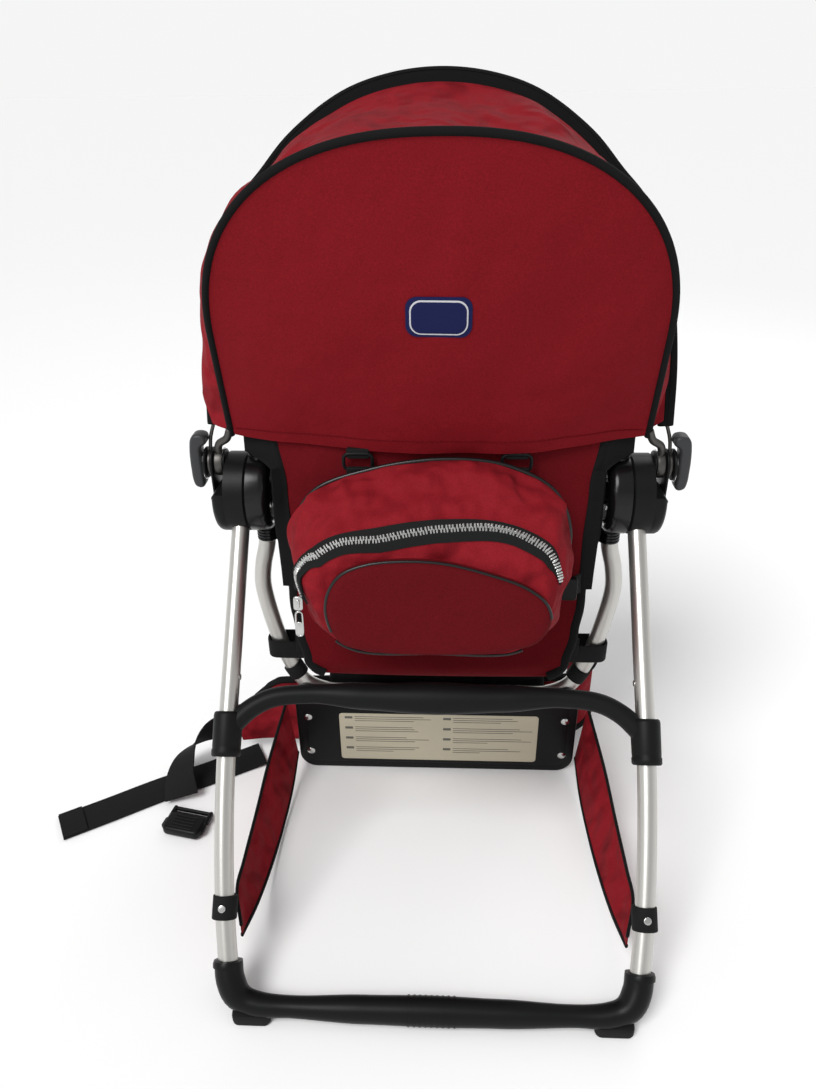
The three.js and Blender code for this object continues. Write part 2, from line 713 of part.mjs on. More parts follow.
/** The handle: a thick grip between two sleeves on the stand tubes. */
function standHandle() {
  const grip = ovalBar(acrossMiddle([
    V(195.5, 0, down(HANDLE_REACH + 34)), V(187, 0, down(HANDLE_REACH + 24)),
    V(174, 0, down(HANDLE_REACH + 12)), V(154, 0, down(HANDLE_REACH + 2)),
    V(118, 0, down(HANDLE_REACH - 2)), V(60, 0, down(HANDLE_REACH - 0.5)), V(0, 0, down(HANDLE_REACH)),
  ]), 28, (t, at) => [
    along([[0, 15.3], [68, 12.5], [118, 9], [196, 9.5]], Math.abs(at.x)),
    along([[0, 12.5], [68, 11.5], [118, 9], [196, 9.5]], Math.abs(at.x)),
  ], STAND_NORMAL);
  const sleeve = new THREE.CylinderGeometry(13.8, 13.8, 41, 14).rotateX(Math.PI / 2)
    .translate(STAND_X, 0, down(HANDLE_REACH + 36));
  return cut(
    join(grip, sleeve, mirrored(sleeve, -1)),
    standHole(),
    mirrored(standHole(), -1),
  );
}

const FOOT_PATH = acrossMiddle([
  V(181, 0, down(FOOT_REACH - 35)), V(178.5, 0, down(FOOT_REACH - 21)),
  V(171, 0, down(FOOT_REACH - 8)), V(155, 0, down(FOOT_REACH - 1.5)),
  V(120, 0, down(FOOT_REACH)), V(0, 0, down(FOOT_REACH)),
]);

/** The foot bar's solid, grown by a gap for what is cut to fit it. */
function footBarBody(grow) {
  return ovalBar(FOOT_PATH, 30, (t, at) => [
    grow + along([[0, 12.6], [60, 11.5], [125, 9], [160, 10.5], [178, 12.6]], Math.abs(at.x)),
    grow + along([[0, 11], [60, 10.5], [125, 9], [160, 10.5], [178, 12.6]], Math.abs(at.x)),
  ], STAND_NORMAL);
}

const footBar = () => cut(footBarBody(0), standHole(), mirrored(standHole(), -1));

/** Where the floor is in the stand's own frame, for parts that stand flat on it. */
function onFloor(geometry) {
  return geometry.translate(0, 0, -HINGE_Z).rotateX(STAND_LEAN);
}

function footPad() {
  const y = -FOOT_REACH * Math.sin(STAND_LEAN);
  const block = new THREE.ExtrudeGeometry(roundedRect(34, 24, 6, 158, y + 1), {
    depth: 12, bevelEnabled: false, curveSegments: 3,
  });
  return cut(onFloor(block), footBarBody(GAP));
}

/** A webbing band clamped round a stand tube. */
function tubeClamp() {
  const band = new THREE.CylinderGeometry(11.3, 11.3, 20, 14).rotateX(Math.PI / 2)
    .translate(187.3, 0, down(CLAMP_REACH));
  return cut(band, standHole());
}

// ---------------------------------------------------------------- levers and limit strips

/** The canopy's clamp lever: a curved handle with a thumb bump at its top. */
function releaseLever() {
  const outline = new THREE.Shape();
  outline.moveTo(230.4, 380);
  outline.quadraticCurveTo(229.8, 371, 233.6, 369);
  outline.quadraticCurveTo(238.2, 371, 238.6, 386);
  outline.quadraticCurveTo(238.4, 404, 236.4, 423);
  outline.quadraticCurveTo(231, 427, 226.6, 424);
  outline.lineTo(225.6, 415);
  outline.quadraticCurveTo(230.6, 413.5, 230.4, 404);
  return slab(outline, CANOPY_Y - 9, 18, 4);
}

/** The cloth strip that stops the stand from opening further. */
function limitStrip() {
  const upper = new THREE.CatmullRomCurve3([V(173, -12, 96), V(185, -70, 62), V(188.5, -130, 47),
    V(189, -190, 45), V(187, -228, 50), V(176, -262, 46)]);
  const lower = new THREE.CatmullRomCurve3([V(165, -12, 20), V(165, -60, 9), V(167.5, -120, 4.5),
    V(170, -170, 8), V(173, -220, 18), V(176.5, -262, 32)]);
  return sheet((u, v) => upper.getPointAt(u).lerp(lower.getPointAt(u), v), 9, 2, 1.5);
}

// ---------------------------------------------------------------- loose hip straps

/** The long adjusting tail, flat on the floor. */
const hipStrapTail = () => strap([
  V(-212, 2, 3.6), V(-238, -12, 2), V(-268, -30, 1.6), V(-322, -60, 1.6), V(-371, -91, 1.6), V(-415, -118, 1.6),
], () => V(0.45, -0.9, 0), WEBBING, WEBBING_T, 14);

/** The short strap that drops to the floor and ends in the buckle. */
const hipStrapLoop = () => strap([
  V(-241, 13, 44), V(-255, 8, 43), V(-276, -5, 40), V(-293, -26, 30), V(-298, -50, 17), V(-290, -76, 9),
], (t) => V(Math.sin(1.5 * t), 0, Math.cos(1.5 * t)), WEBBING, WEBBING_T, 14);

/** Half of a side-release buckle, lying on the floor. */
function hipBuckle() {
  const shape = roundedRect(48, 36, 7, 0, 0);
  const body = new THREE.ExtrudeGeometry(shape, { depth: 12, bevelEnabled: false, curveSegments: 3 });
  return body.rotateZ(-0.2).translate(-275, -110, 0.6);
}

// ---------------------------------------------------------------- assembly

const carrier = new THREE.Group();
const looseStraps = new THREE.Group();

carrier.add(
  part('main_tube', mainTube(), satinAluminium()),
  part('shoulder_tube', shoulderTube(), satinAluminium()),
  ...pair('hub_inner', innerHub, blackPlastic),
  ...pair('pivot_bolt', pivotBolt, steel),
  ...pair('canopy_mount', canopyMount, blackPlastic),
  part('lumbar_plate', lumbarPlate(), blackPlastic()),
  part('info_label', infoLabel(), label()),
);

const SCREWS = [[-148, 78], [-148, 26], [148, 78], [148, 26]];
SCREWS.forEach(([x, z], i) => {
  carrier.add(part(`plate_screw_${i + 1}`, plateScrew(x, z), steel()));
});

carrier.add(
  part('seat_back', seatBack(), darkRedCloth()),
  ...pair('seat_side', seatSide, blackCloth),
  part('seat_bottom', seatBottom(), darkRedCloth()),
  ...pair('harness_strap', harnessStrap, blackCloth),
  ...pair('tube_loop', tubeLoop, blackCloth),
  part('back_panel', backPanel(), blackCloth()),
  part('lumbar_pad', lumbarPad(), blackCloth()),
  part('hip_wing_left', hipWing(HIP_LEFT), redCloth()),
  part('hip_wing_right', hipWing(HIP_RIGHT), redCloth()),
  ...pair('shoulder_strap', shoulderStrap, blackCloth),
  part('sternum_strap', sternumStrap(), blackCloth()),
  part('sternum_buckle', sternumBuckle(), blackPlastic()),
  ...pair('bag_ring', bagRing, blackPlastic),
  ...pair('bag_strap', bagStrap, blackCloth),
  ...pair('release_lever', releaseLever, softGrip),
  ...pair('limit_strip', limitStrip, redCloth),
);

const bag = new THREE.Group();
bag.position.set(0, BAG_Y, BAG_Z);
bag.rotation.x = -BAG_TILT;
bag.add(
  part('storage_bag', storageBag(), redCloth()),
  part('bag_pocket', bagPocket(), darkRedCloth()),
  part('zip_chain', zipChain(), steel()),
  part('zip_slider', zipSlider(), steel()),
  part('zip_pull', zipPull(), steel()),
);
carrier.add(bag);

const canopy = new THREE.Group();
canopy.position.set(0, CANOPY_Y, CANOPY_Z);
const rearPlane = new THREE.Group();
rearPlane.rotation.x = REAR_TILT;
rearPlane.add(
  part('canopy_rear_hoop', rearHoop(), blackCloth()),
  part('canopy_curtain', canopyCurtain(), redCloth()),
);
const frontPlane = new THREE.Group();
frontPlane.rotation.x = -FRONT_TILT;
frontPlane.add(part('canopy_front_hoop', frontHoop(), blackCloth()));
canopy.add(rearPlane, frontPlane, part('canopy_top', canopyTop(), redCloth()));
carrier.add(canopy);

const stand = new THREE.Group();
stand.position.set(0, 0, HINGE_Z);
stand.rotation.x = -STAND_LEAN;
stand.add(
  ...pair('hub_outer', outerHub, blackPlastic),
  ...pair('stand_tube', standTube, satinAluminium),
  part('stand_handle', standHandle(), softGrip()),
  part('foot_bar', footBar(), blackPlastic()),
  ...pair('foot_pad', footPad, rubber),
  ...pair('tube_clamp', tubeClamp, blackCloth),
);
carrier.add(stand);

looseStraps.add(
  part('hip_strap_tail', hipStrapTail(), blackCloth()),
  part('hip_strap_loop', hipStrapLoop(), blackCloth()),
  part('hip_buckle', hipBuckle(), blackPlastic()),
);

// The origin goes under the middle of the box of everything but the loose straps.
const object = new THREE.Group();
object.add(carrier, looseStraps);
carrier.updateMatrixWorld(true);
const middle = new THREE.Box3().setFromObject(carrier, true).getCenter(V());
object.position.y = -middle.y;

export default object;
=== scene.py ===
"""A baby carrier backpack on its opened stand: the looks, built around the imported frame.

Lengths are in millimetres in the carrier's own frame, whose Y is 0 at the stand's hinge and
whose Z is 0 on the floor. The matrices below take each group of pieces to the row's frame.
"""

import json
import math

import bmesh
import bpy
import numpy as np
from mathutils import Matrix, Vector, noise


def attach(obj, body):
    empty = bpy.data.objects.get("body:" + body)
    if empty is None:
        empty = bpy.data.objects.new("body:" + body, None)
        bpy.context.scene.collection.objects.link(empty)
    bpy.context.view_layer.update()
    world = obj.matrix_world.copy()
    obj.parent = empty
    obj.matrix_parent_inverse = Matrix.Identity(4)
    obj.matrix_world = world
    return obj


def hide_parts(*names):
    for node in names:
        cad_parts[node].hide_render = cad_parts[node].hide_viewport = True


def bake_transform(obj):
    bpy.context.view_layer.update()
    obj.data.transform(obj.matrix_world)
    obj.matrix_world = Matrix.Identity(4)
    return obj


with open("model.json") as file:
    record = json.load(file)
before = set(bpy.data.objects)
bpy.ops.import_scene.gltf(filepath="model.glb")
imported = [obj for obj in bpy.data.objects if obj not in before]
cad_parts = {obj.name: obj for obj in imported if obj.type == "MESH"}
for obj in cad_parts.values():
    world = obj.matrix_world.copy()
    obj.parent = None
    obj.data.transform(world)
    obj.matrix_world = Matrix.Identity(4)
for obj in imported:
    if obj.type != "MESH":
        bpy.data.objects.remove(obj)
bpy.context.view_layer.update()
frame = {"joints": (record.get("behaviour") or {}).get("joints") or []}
JOINTS = {joint["name"]: joint for joint in frame["joints"]}
HINGE = Vector(JOINTS["stand_fold"]["pos_m"])
PIN = Vector(JOINTS["canopy_tilt"]["pos_m"])
SIDES = ((-1, "left"), (1, "right"))

# ---- places

MM = 0.001
HINGE_Z = HINGE.z / MM
PIN_Z = PIN.z / MM


def moved(x, y, z):
    return Matrix.Translation((x, y, z))


def rotated(degrees, axis="X"):
    return Matrix.Rotation(math.radians(degrees), 4, axis)


CARRIER = Matrix.Translation((0, HINGE.y, 0)) @ Matrix.Scale(MM, 4)
STAND_LEAN = 42.3
STAND = CARRIER @ moved(0, 0, HINGE_Z) @ rotated(-STAND_LEAN)
BAG_AT, BAG_LEAN = (0, -64, 336), 12
BAG = CARRIER @ moved(*BAG_AT) @ rotated(-BAG_LEAN)
PIN_Y = -2
CANOPY = CARRIER @ moved(0, PIN_Y, PIN_Z)
REAR_TILT, FRONT_TILT = 15, 11.2
REAR = CANOPY @ rotated(REAR_TILT)
FRONT = CANOPY @ rotated(-FRONT_TILT)
ON_STAND = {"place": STAND, "body": "stand"}
SIDEWAYS, BACKWARDS, UPWARDS = (1, 0, 0), (0, 1, 0), (0, 0, 1)

# ---- materials

GRAIN_HEIGHT, FOLD_HEIGHT, FOLD_SCALE = 0.0004, 0.05, 17


def look(name, colour, roughness, metallic=0.0, grain=0.0, grain_scale=1300.0, mottle=0.0, folds=0.0,
         shine=0.5):
    """A principled material with fine grain, soft mottling and shallow folds in its bump."""
    made = bpy.data.materials.new(name)
    made.use_nodes = True
    nodes, links = made.node_tree.nodes, made.node_tree.links
    shader = nodes["Principled BSDF"]
    shader.inputs["Base Color"].default_value = (*colour, 1)
    shader.inputs["Roughness"].default_value = roughness
    shader.inputs["Metallic"].default_value = metallic
    shader.inputs["Specular IOR Level"].default_value = shine
    place = nodes.new("ShaderNodeTexCoord").outputs["Object"]
    last = None

    def field(scale, detail):
        texture = nodes.new("ShaderNodeTexNoise")
        texture.inputs["Scale"].default_value = scale
        texture.inputs["Detail"].default_value = detail
        links.new(place, texture.inputs["Vector"])
        return texture.outputs["Fac"]

    for amount, scale, height in ((grain, grain_scale, GRAIN_HEIGHT), (folds, FOLD_SCALE, FOLD_HEIGHT)):
        if amount:
            bump = nodes.new("ShaderNodeBump")
            bump.inputs["Strength"].default_value = amount
            bump.inputs["Distance"].default_value = height
            links.new(field(scale, 2), bump.inputs["Height"])
            if last:
                links.new(last, bump.inputs["Normal"])
            last = bump.outputs["Normal"]
    if last:
        links.new(last, shader.inputs["Normal"])
    if mottle:
        ramp = nodes.new("ShaderNodeValToRGB")
        ramp.color_ramp.elements[0].color = (*(c * (1 - mottle) for c in colour), 1)
        ramp.color_ramp.elements[1].color = (*(min(1, c * (1 + mottle)) for c in colour), 1)
        ramp.color_ramp.elements[0].position = 0.3
        ramp.color_ramp.elements[1].position = 0.7
        links.new(field(grain_scale * 0.6, 3), ramp.inputs["Fac"])
        links.new(ramp.outputs["Color"], shader.inputs["Base Color"])
    return made


ALUMINIUM = look("satin_aluminium", (0.56, 0.55, 0.52), 0.34, 0.92, grain=0.05,
                 grain_scale=900)
STEEL = look("bright_steel", (0.55, 0.55, 0.54), 0.22, 1.0)
DARK_STEEL = look("dark_steel", (0.09, 0.085, 0.08), 0.4, 0.9)
PLASTIC = look("black_plastic", (0.0055, 0.0057, 0.0062), 0.36, grain=0.12, grain_scale=1400,
               shine=0.14)
HUB_PLASTIC = look("glossy_black_plastic", (0.004, 0.004, 0.0045), 0.2, grain=0.03,
                   grain_scale=900, shine=0.3)
GRIP = look("soft_grip", (0.0065, 0.0067, 0.0072), 0.45, grain=0.1, grain_scale=1200, shine=0.12)
LEVER = look("lever_grip", (0.03, 0.031, 0.033), 0.4, grain=0.06, grain_scale=1200, shine=0.3)
RUBBER = look("rubber", (0.01, 0.01, 0.01), 0.75, shine=0.15)
# The curtain's red is the canopy top's red cloth made darker: painted shade on the canopy's hanging side.
RED = look("red_cloth", (0.165, 0.0052, 0.0092), 0.85, grain=0.5, mottle=0.16, folds=0.14,
           shine=0.1)
BAG_RED = look("bag_cloth", (0.215, 0.0075, 0.0135), 0.8, grain=0.5, mottle=0.14, folds=0.9,
               shine=0.12)
# The same red cloth darker still: painted shade for the seat's underside, the bag's front pocket and the hem
# stitches.
SHADED_DEEP_RED = look("dark_red_cloth", (0.095, 0.003, 0.0055), 0.85, grain=0.5, mottle=0.14,
                folds=0.12, shine=0.1)
# The same red cloth darkened for the seat back: painted shade under the canopy.
SHADED_SEAT_RED = look("seat_cloth", (0.105, 0.0034, 0.0062), 0.85, grain=0.5, mottle=0.14,
                folds=0.12, shine=0.08)
ZIP_TAPE = look("zip_tape", (0.008, 0.0085, 0.0085), 0.8, grain=0.6, grain_scale=900,
                shine=0.15)
BLACK_CLOTH = look("black_cloth", (0.0062, 0.0062, 0.0066), 0.85, grain=0.6, grain_scale=1100,
                   shine=0.12)
WEBBING = look("black_webbing", (0.0082, 0.0082, 0.0086), 0.75, grain=0.8, grain_scale=600,
               shine=0.14)
PIPING = look("piping", (0.006, 0.006, 0.0062), 0.3, shine=0.4)
PAPER = look("label_film", (0.50, 0.455, 0.345), 0.45, shine=0.3)
PRINT = look("label_print", (0.13, 0.125, 0.11), 0.6, shine=0.2)
NAVY = look("badge", (0.005, 0.008, 0.055), 0.6, grain=0.4, grain_scale=900, shine=0.15)
WHITE_THREAD = look("badge_border", (0.5, 0.5, 0.52), 0.7, shine=0.2)

# ---- shape helpers


def along(table, place):
    """Reads a smooth value from a short list of [place, value] pairs."""
    places, values = zip(*table)
    i = int(np.clip(np.searchsorted(places, place) - 1, 0, len(places) - 2))
    t = np.clip((place - places[i]) / (places[i + 1] - places[i]), 0, 1)
    return values[i] + (values[i + 1] - values[i]) * t * t * (3 - 2 * t)


def steady(table, place):
    """Reads a straight-line value from a short list of [place, value] pairs."""
    return float(np.interp(place, *zip(*table)))


def mix(a, b, t):
    return a + (b - a) * t


def across_middle(points):
    """Points from the +X side's end to the middle, continued to the -X side."""
    return list(points) + [(-x, y, z) for x, y, z in reversed(points[:-1])]


def spline(points, count, closed=False):
    """Evenly spaced points on a centripetal Catmull-Rom curve."""
    p = np.array(points, float)
    ends = (p[-1], p[0], p[1]) if closed else (2 * p[0] - p[1], 2 * p[-1] - p[-2], None)
    p = np.vstack([ends[0][None], p] + [e[None] for e in ends[1:] if e is not None])
    dense = []
    for p0, p1, p2, p3 in zip(p, p[1:], p[2:], p[3:]):
        a, b, c = (max(np.linalg.norm(q), 1e-6) ** 0.5 for q in (p1 - p0, p2 - p1, p3 - p2))
        m1 = b * ((p1 - p0) / a - (p2 - p0) / (a + b) + (p2 - p1) / b)
        m2 = b * ((p2 - p1) / b - (p3 - p1) / (b + c) + (p3 - p2) / c)
        t = np.linspace(0, 1, 30, endpoint=False)[:, None]
        dense.append((2 * t**3 - 3 * t**2 + 1) * p1 + (t**3 - 2 * t**2 + t) * m1
                     + (3 * t**2 - 2 * t**3) * p2 + (t**3 - t**2) * m2)
    dense = np.vstack(dense + [p[-2][None]])
    run = np.concatenate([[0], np.cumsum(np.linalg.norm(np.diff(dense, axis=0), axis=1))])
    where = np.linspace(0, run[-1], count + (1 if closed else 0))
    even = np.stack([np.interp(where, run, dense[:, k]) for k in range(3)], 1)
    return even[:-1] if closed else even


def loop_in_xz(outline, count):
    """A closed curve through points given in X and Z."""
    return spline([(x, 0, z) for x, z in outline], count, closed=True)


def frames_along(path, side, closed):
    """The direction, side and normal at each point; side is one direction or a function of 0 to 1."""
    if closed:
        tangent = np.roll(path, -1, 0) - np.roll(path, 1, 0)
    else:
        tangent = np.gradient(path, axis=0)
    tangent /= np.linalg.norm(tangent, axis=1, keepdims=True)
    across = np.zeros_like(path)
    carried = np.cross(tangent[0], (0.3, 0.2, 1.0))
    for i, direction in enumerate(tangent):
        wanted = side(i / (len(path) - 1)) if callable(side) else side
        if side is None:
            wanted = carried
        wanted = wanted - direction * (wanted @ direction)
        across[i] = wanted / np.linalg.norm(wanted)
        carried = across[i]
    return tangent, across, np.cross(across, tangent)


def lofted(rings, loop=False):
    """Vertices and faces of a stack of equal rings, capped unless it closes on itself."""
    rings = np.asarray(rings, float)
    m, n = rings.shape[:2]
    faces = []
    for r in range(m if loop else m - 1):
        for i in range(n):
            j, s = (i + 1) % n, (r + 1) % m
            faces.append((r * n + i, r * n + j, s * n + j, s * n + i))
    if not loop:
        faces += [tuple(range(n))[::-1], tuple(range((m - 1) * n, m * n))]
    return rings.reshape(-1, 3), faces


def oval(a, b, sides):
    angle = np.linspace(0, 2 * np.pi, sides, endpoint=False)
    return np.stack([a * np.cos(angle), b * np.sin(angle)], 1)


def rounded_box(width, height, radius, steps=4):
    """The outline of a rounded rectangle, centred on the origin."""
    points = []
    for k, (sx, sy) in enumerate(((1, 1), (-1, 1), (-1, -1), (1, -1))):
        for i in range(steps + 1):
            angle = (k + i / steps) * math.pi / 2
            points.append((sx * (width / 2 - radius) + radius * math.cos(angle),
                           sy * (height / 2 - radius) + radius * math.sin(angle)))
    return np.array(points)


def swept(path, section, side=None, loop=False, swell=1.5):
    """A section carried along a path; its open ends are slightly rounded."""
    _, across, normal = frames_along(path, side, loop)
    last = len(path) - 1
    rings = []
    for i, centre in enumerate(path):
        outline = section(i / last) if callable(section) else section
        rings.append(centre + outline[:, :1] * across[i] + outline[:, 1:] * normal[i])
    if not loop and swell:
        caps = []
        for end, inner in ((0, 1), (last, last - 1)):
            step = path[end] - path[inner]
            step = step / np.linalg.norm(step) * swell * 0.3
            caps.append(path[end] + (rings[end] - path[end]) * 0.9 + step)
        rings = [caps[0]] + rings + [caps[1]]
    return lofted(rings, loop)


def turned(profile, sides):
    """A profile of [distance along X, radius] pairs turned about the X axis."""
    angle = np.linspace(0, 2 * np.pi, sides, endpoint=False)
    return lofted([np.stack([np.full(sides, x), r * np.cos(angle), r * np.sin(angle)], 1)
                   for x, r in profile])


def rod(x0, x1, radius, edge, sides=32):
    """A short round bar along X with rounded rims."""
    rim = [(1 - math.cos(a), 1 - math.sin(a)) for a in np.linspace(0, math.pi / 2, 4)]
    start = [(x0 + edge * d, radius - edge * s) for d, s in rim]
    end = [(x1 - edge * d, radius - edge * s) for d, s in reversed(rim)]
    return turned([(x0, radius * 0.3)] + start + end + [(x1, radius * 0.3)], sides)


def slab(outline, y0, y1, edge, steps=3):
    """A plate drawn in X and Z, from y0 to y1, with rounded edges."""
    outline = np.asarray(outline, float)
    ahead = np.roll(outline, -1, 0) - np.roll(outline, 1, 0)
    ahead /= np.linalg.norm(ahead, axis=1, keepdims=True) + 1e-9
    area = np.sum(outline[:, 0] * np.roll(outline[:, 1], -1) - np.roll(outline[:, 0], -1) * outline[:, 1])
    inwards = np.stack([-ahead[:, 1], ahead[:, 0]], 1) * np.sign(area)
    edge = min(edge, (y1 - y0) / 2)
    quarter = np.linspace(0, math.pi / 2, steps + 1)
    rim = [(edge * (1 - math.sin(a)), edge * (1 - math.cos(a))) for a in quarter]
    levels = [(inset, y0 + rise) for inset, rise in rim]
    levels += [(inset, y1 - rise) for inset, rise in reversed(rim)]
    rings = []
    for inset, y in levels:
        p = outline + inwards * inset
        rings.append(np.stack([p[:, 0], np.full(len(p), y), p[:, 1]], 1))
    return lofted(rings)


def block(size, y0, y1, edge, steps=3, at=(0, 0)):
    """A plate of a width, height and corner radius, centred on a place in X and Z."""
    return slab(rounded_box(*size) + at, y0, y1, edge, steps)


def facing_x(shape):
    """A slab turned to be drawn in Y and Z, its thickness along X."""
    return shape[0][:, [1, 0, 2]], shape[1]


def flat_plate(outline, z0, z1, edge):
    """A slab lying on X and Y, from z0 to z1."""
    verts, faces = slab(outline, z0, z1, edge)
    return verts[:, [0, 2, 1]], faces


def grid(point, columns, rows):
    """Vertices and faces of an open sheet point(u, v), with u and v from 0 to 1."""
    verts = [point(i / columns, j / rows) for i in range(columns + 1) for j in range(rows + 1)]
    faces = []
    for i in range(columns):
        for j in range(rows):
            a = i * (rows + 1) + j
            faces.append((a, a + 1, a + rows + 2, a + rows + 1))
    return np.array(verts, float), faces


def joined(*shapes):
    """Several shapes as one."""
    verts, faces, start = [], [], 0
    for v, f in shapes:
        verts.append(np.asarray(v, float))
        faces += [tuple(i + start for i in face) for face in f]
        start += len(v)
    return np.vstack(verts), faces


def shifted(shape, x=0, y=0, z=0):
    return np.asarray(shape[0], float) + (x, y, z), shape[1]


def flipped(shape):
    """The same shape mirrored to the -X side."""
    return np.asarray(shape[0], float) * (-1, 1, 1), [face[::-1] for face in shape[1]]


def on_side(shape, side):
    return shape if side > 0 else flipped(shape)


def reshaped(shape, matrix):
    v = np.asarray(shape[0], float)
    m = np.array(matrix)
    return v @ m[:3, :3].T + m[:3, 3], shape[1]


def upright(shape, x=0):
    """A shape turned about X, stood up along Z at x."""
    return shifted(reshaped(shape, rotated(-90, "Y")), x)


def bake(obj):
    """Replaces the mesh by what its modifiers make of it."""
    graph = bpy.context.evaluated_depsgraph_get()
    mesh = bpy.data.meshes.new_from_object(obj.evaluated_get(graph))
    obj.modifiers.clear()
    obj.data = mesh


def smooth(obj, degrees=38):
    obj.data.shade_smooth()
    obj.data.set_sharp_from_angle(angle=math.radians(degrees))


def refined(obj, degrees):
    """Divides every face in four and smooths the result."""
    obj.modifiers.new("fine", "SUBSURF").levels = 1
    bake(obj)
    smooth(obj, degrees)


def outwards(obj):
    """Turns every face of a closed mesh outwards."""
    work = bmesh.new()
    work.from_mesh(obj.data)
    bmesh.ops.recalc_face_normals(work, faces=work.faces)
    work.to_mesh(obj.data)
    work.free()


def piece(name, shape, material, *replaced, place=CARRIER, body="main_frame", slot=None, thick=0.0, inside=-1,
          rides=True):
    """One object of the visual model, in its material; replaced names the CAD nodes it stands for."""
    mesh = bpy.data.meshes.new(name)
    mesh.from_pydata([tuple(v) for v in shape[0]], [], [tuple(f) for f in shape[1]])
    mesh.validate()
    mesh.transform(place)
    obj = bpy.data.objects.new(name, mesh)
    bpy.context.scene.collection.objects.link(obj)
    mesh.materials.append(material)
    if thick:
        solid = obj.modifiers.new("thick", "SOLIDIFY")
        solid.thickness = thick * MM
        solid.offset = inside
        bake(obj)
    outwards(obj)
    smooth(obj)
    if replaced:
        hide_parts(*replaced)
    if rides:
        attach(obj, body)
    return obj


def pair(name, shape, material, *replaced, **rest):
    """A piece on each side; the braces in its name and in what it replaces take the side's word."""
    made = []
    for side, word in SIDES:
        nodes = [node.format(word) for node in replaced]
        made.append(piece(name.format(word), on_side(shape, side), material, *nodes, **rest))
    return made


# ---- camera and light

CAMERA_AT = CARRIER @ Vector((5.5, -738.7, 719.9))
CAMERA_YAW, CAMERA_PITCH, CAMERA_ROLL = 2.75, 29.52, 0.8
LENS, SENSOR = 27.09, 36
# The sky's grey at two heights, from 0 at the horizon to 1 overhead.
SKY_LOW, SKY_HIGH = (0.12, 0.915), (0.5, 0.5)
SUN_POWER, SUN_WIDTH, SUN_TOWARDS = 1.75, 28, (0.45, 0.55, -1.0)
# Each soft lamp's place, what it is aimed at, and its power.
LAMPS = {"key": ((-1.1, -1.5, 1.7), (0, 0, 0.35), 9), "rim": ((0.9, 1.4, 1.7), (0, 0, 0.4), 6)}
LAMP_SIZE = 0.9
FLOOR_HALF, FLOOR_DROP, FLOOR_GREY = 60.0, 0.0004, 0.93


def photo_camera():
    """Looks down at the stand's side from close by, a little to its right."""
    camera = bpy.data.objects.new("camera", bpy.data.cameras.new("camera"))
    camera.data.lens = LENS
    camera.data.sensor_width = SENSOR
    camera.data.clip_start = 0.01
    turn = rotated(CAMERA_YAW, "Z") @ rotated(90 - CAMERA_PITCH) @ rotated(-CAMERA_ROLL, "Z")
    camera.matrix_world = moved(*CAMERA_AT) @ turn
    bpy.context.scene.collection.objects.link(camera)
    bpy.context.scene.camera = camera


def lamp(name, kind, power, place, towards):
    """A lamp at a place that shines along a direction."""
    light = bpy.data.lights.new(name, kind)
    light.energy = power
    holder = bpy.data.objects.new(name, light)
    holder.location = place
    holder.rotation_euler = Vector(towards).to_track_quat("-Z", "Y").to_euler()
    bpy.context.scene.collection.objects.link(holder)
    return light


def sky():
    """Paler towards the horizon than above."""
    world = bpy.data.worlds.new("studio")
    world.use_nodes = True
    nodes, links = world.node_tree.nodes, world.node_tree.links
    split = nodes.new("ShaderNodeSeparateXYZ")
    ramp = nodes.new("ShaderNodeValToRGB")
    for stop, (height, grey) in zip(ramp.color_ramp.elements, (SKY_LOW, SKY_HIGH)):
        stop.color = (grey, grey, grey, 1)
        stop.position = height
    links.new(nodes.new("ShaderNodeTexCoord").outputs["Generated"], split.inputs["Vector"])
    links.new(split.outputs["Z"], ramp.inputs["Fac"])
    links.new(ramp.outputs["Color"], nodes["Background"].inputs["Color"])
    bpy.context.scene.world = world
    bpy.context.scene.view_settings.view_transform = "Standard"


def studio():
    """A wide pale floor under a pale sky, a large soft sun and two soft lamps."""
    sky()
    lamp("sun", "SUN", SUN_POWER, (0, 0, 0), SUN_TOWARDS).angle = math.radians(SUN_WIDTH)
    for name, (place, aim, power) in LAMPS.items():
        lamp(name, "AREA", power, place, Vector(aim) - Vector(place)).size = LAMP_SIZE
    corners = [(x * FLOOR_HALF, y * FLOOR_HALF, 0) for x, y in ((-1, -1), (1, -1), (1, 1), (-1, 1))]
    mesh = bpy.data.meshes.new("floor")
    mesh.from_pydata(corners, [], [(0, 1, 2, 3)])
    mesh.materials.append(look("floor", (FLOOR_GREY, FLOOR_GREY, FLOOR_GREY), 0.9))
    floor = bpy.data.objects.new("floor", mesh)
    floor.location.z = -FLOOR_DROP
    bpy.context.scene.collection.objects.link(floor)


# ---- loose hip straps

WEBBING_WIDTH, WEBBING_THICK = 38, 2.4
TAIL_ROUTE = [(-212, 2, 3.6), (-238, -12, 2), (-268, -30, 1.6), (-322, -60, 1.6), (-371, -91, 1.6),
              (-415, -118, 1.6)]
TAIL_ACROSS = (0.45, -0.9, 0)
LOOP_ROUTE = [(-241, 13, 44), (-255, 8, 43), (-276, -5, 40), (-293, -26, 30), (-298, -50, 17), (-290, -76, 9)]
LOOP_TWIST = 1.5
BUCKLE_AT, BUCKLE_TURN = (-275, -110, 1.2), -11.46


def webbing_section(width, thick):
    return rounded_box(width, thick, thick * 0.45, 2)


def length_of(route):
    return float(np.linalg.norm(np.diff(spline(route, 200), axis=0), axis=1).sum())


def cord_path(route):
    return [tuple(CARRIER @ Vector(p)) for p in spline(route, 28)]


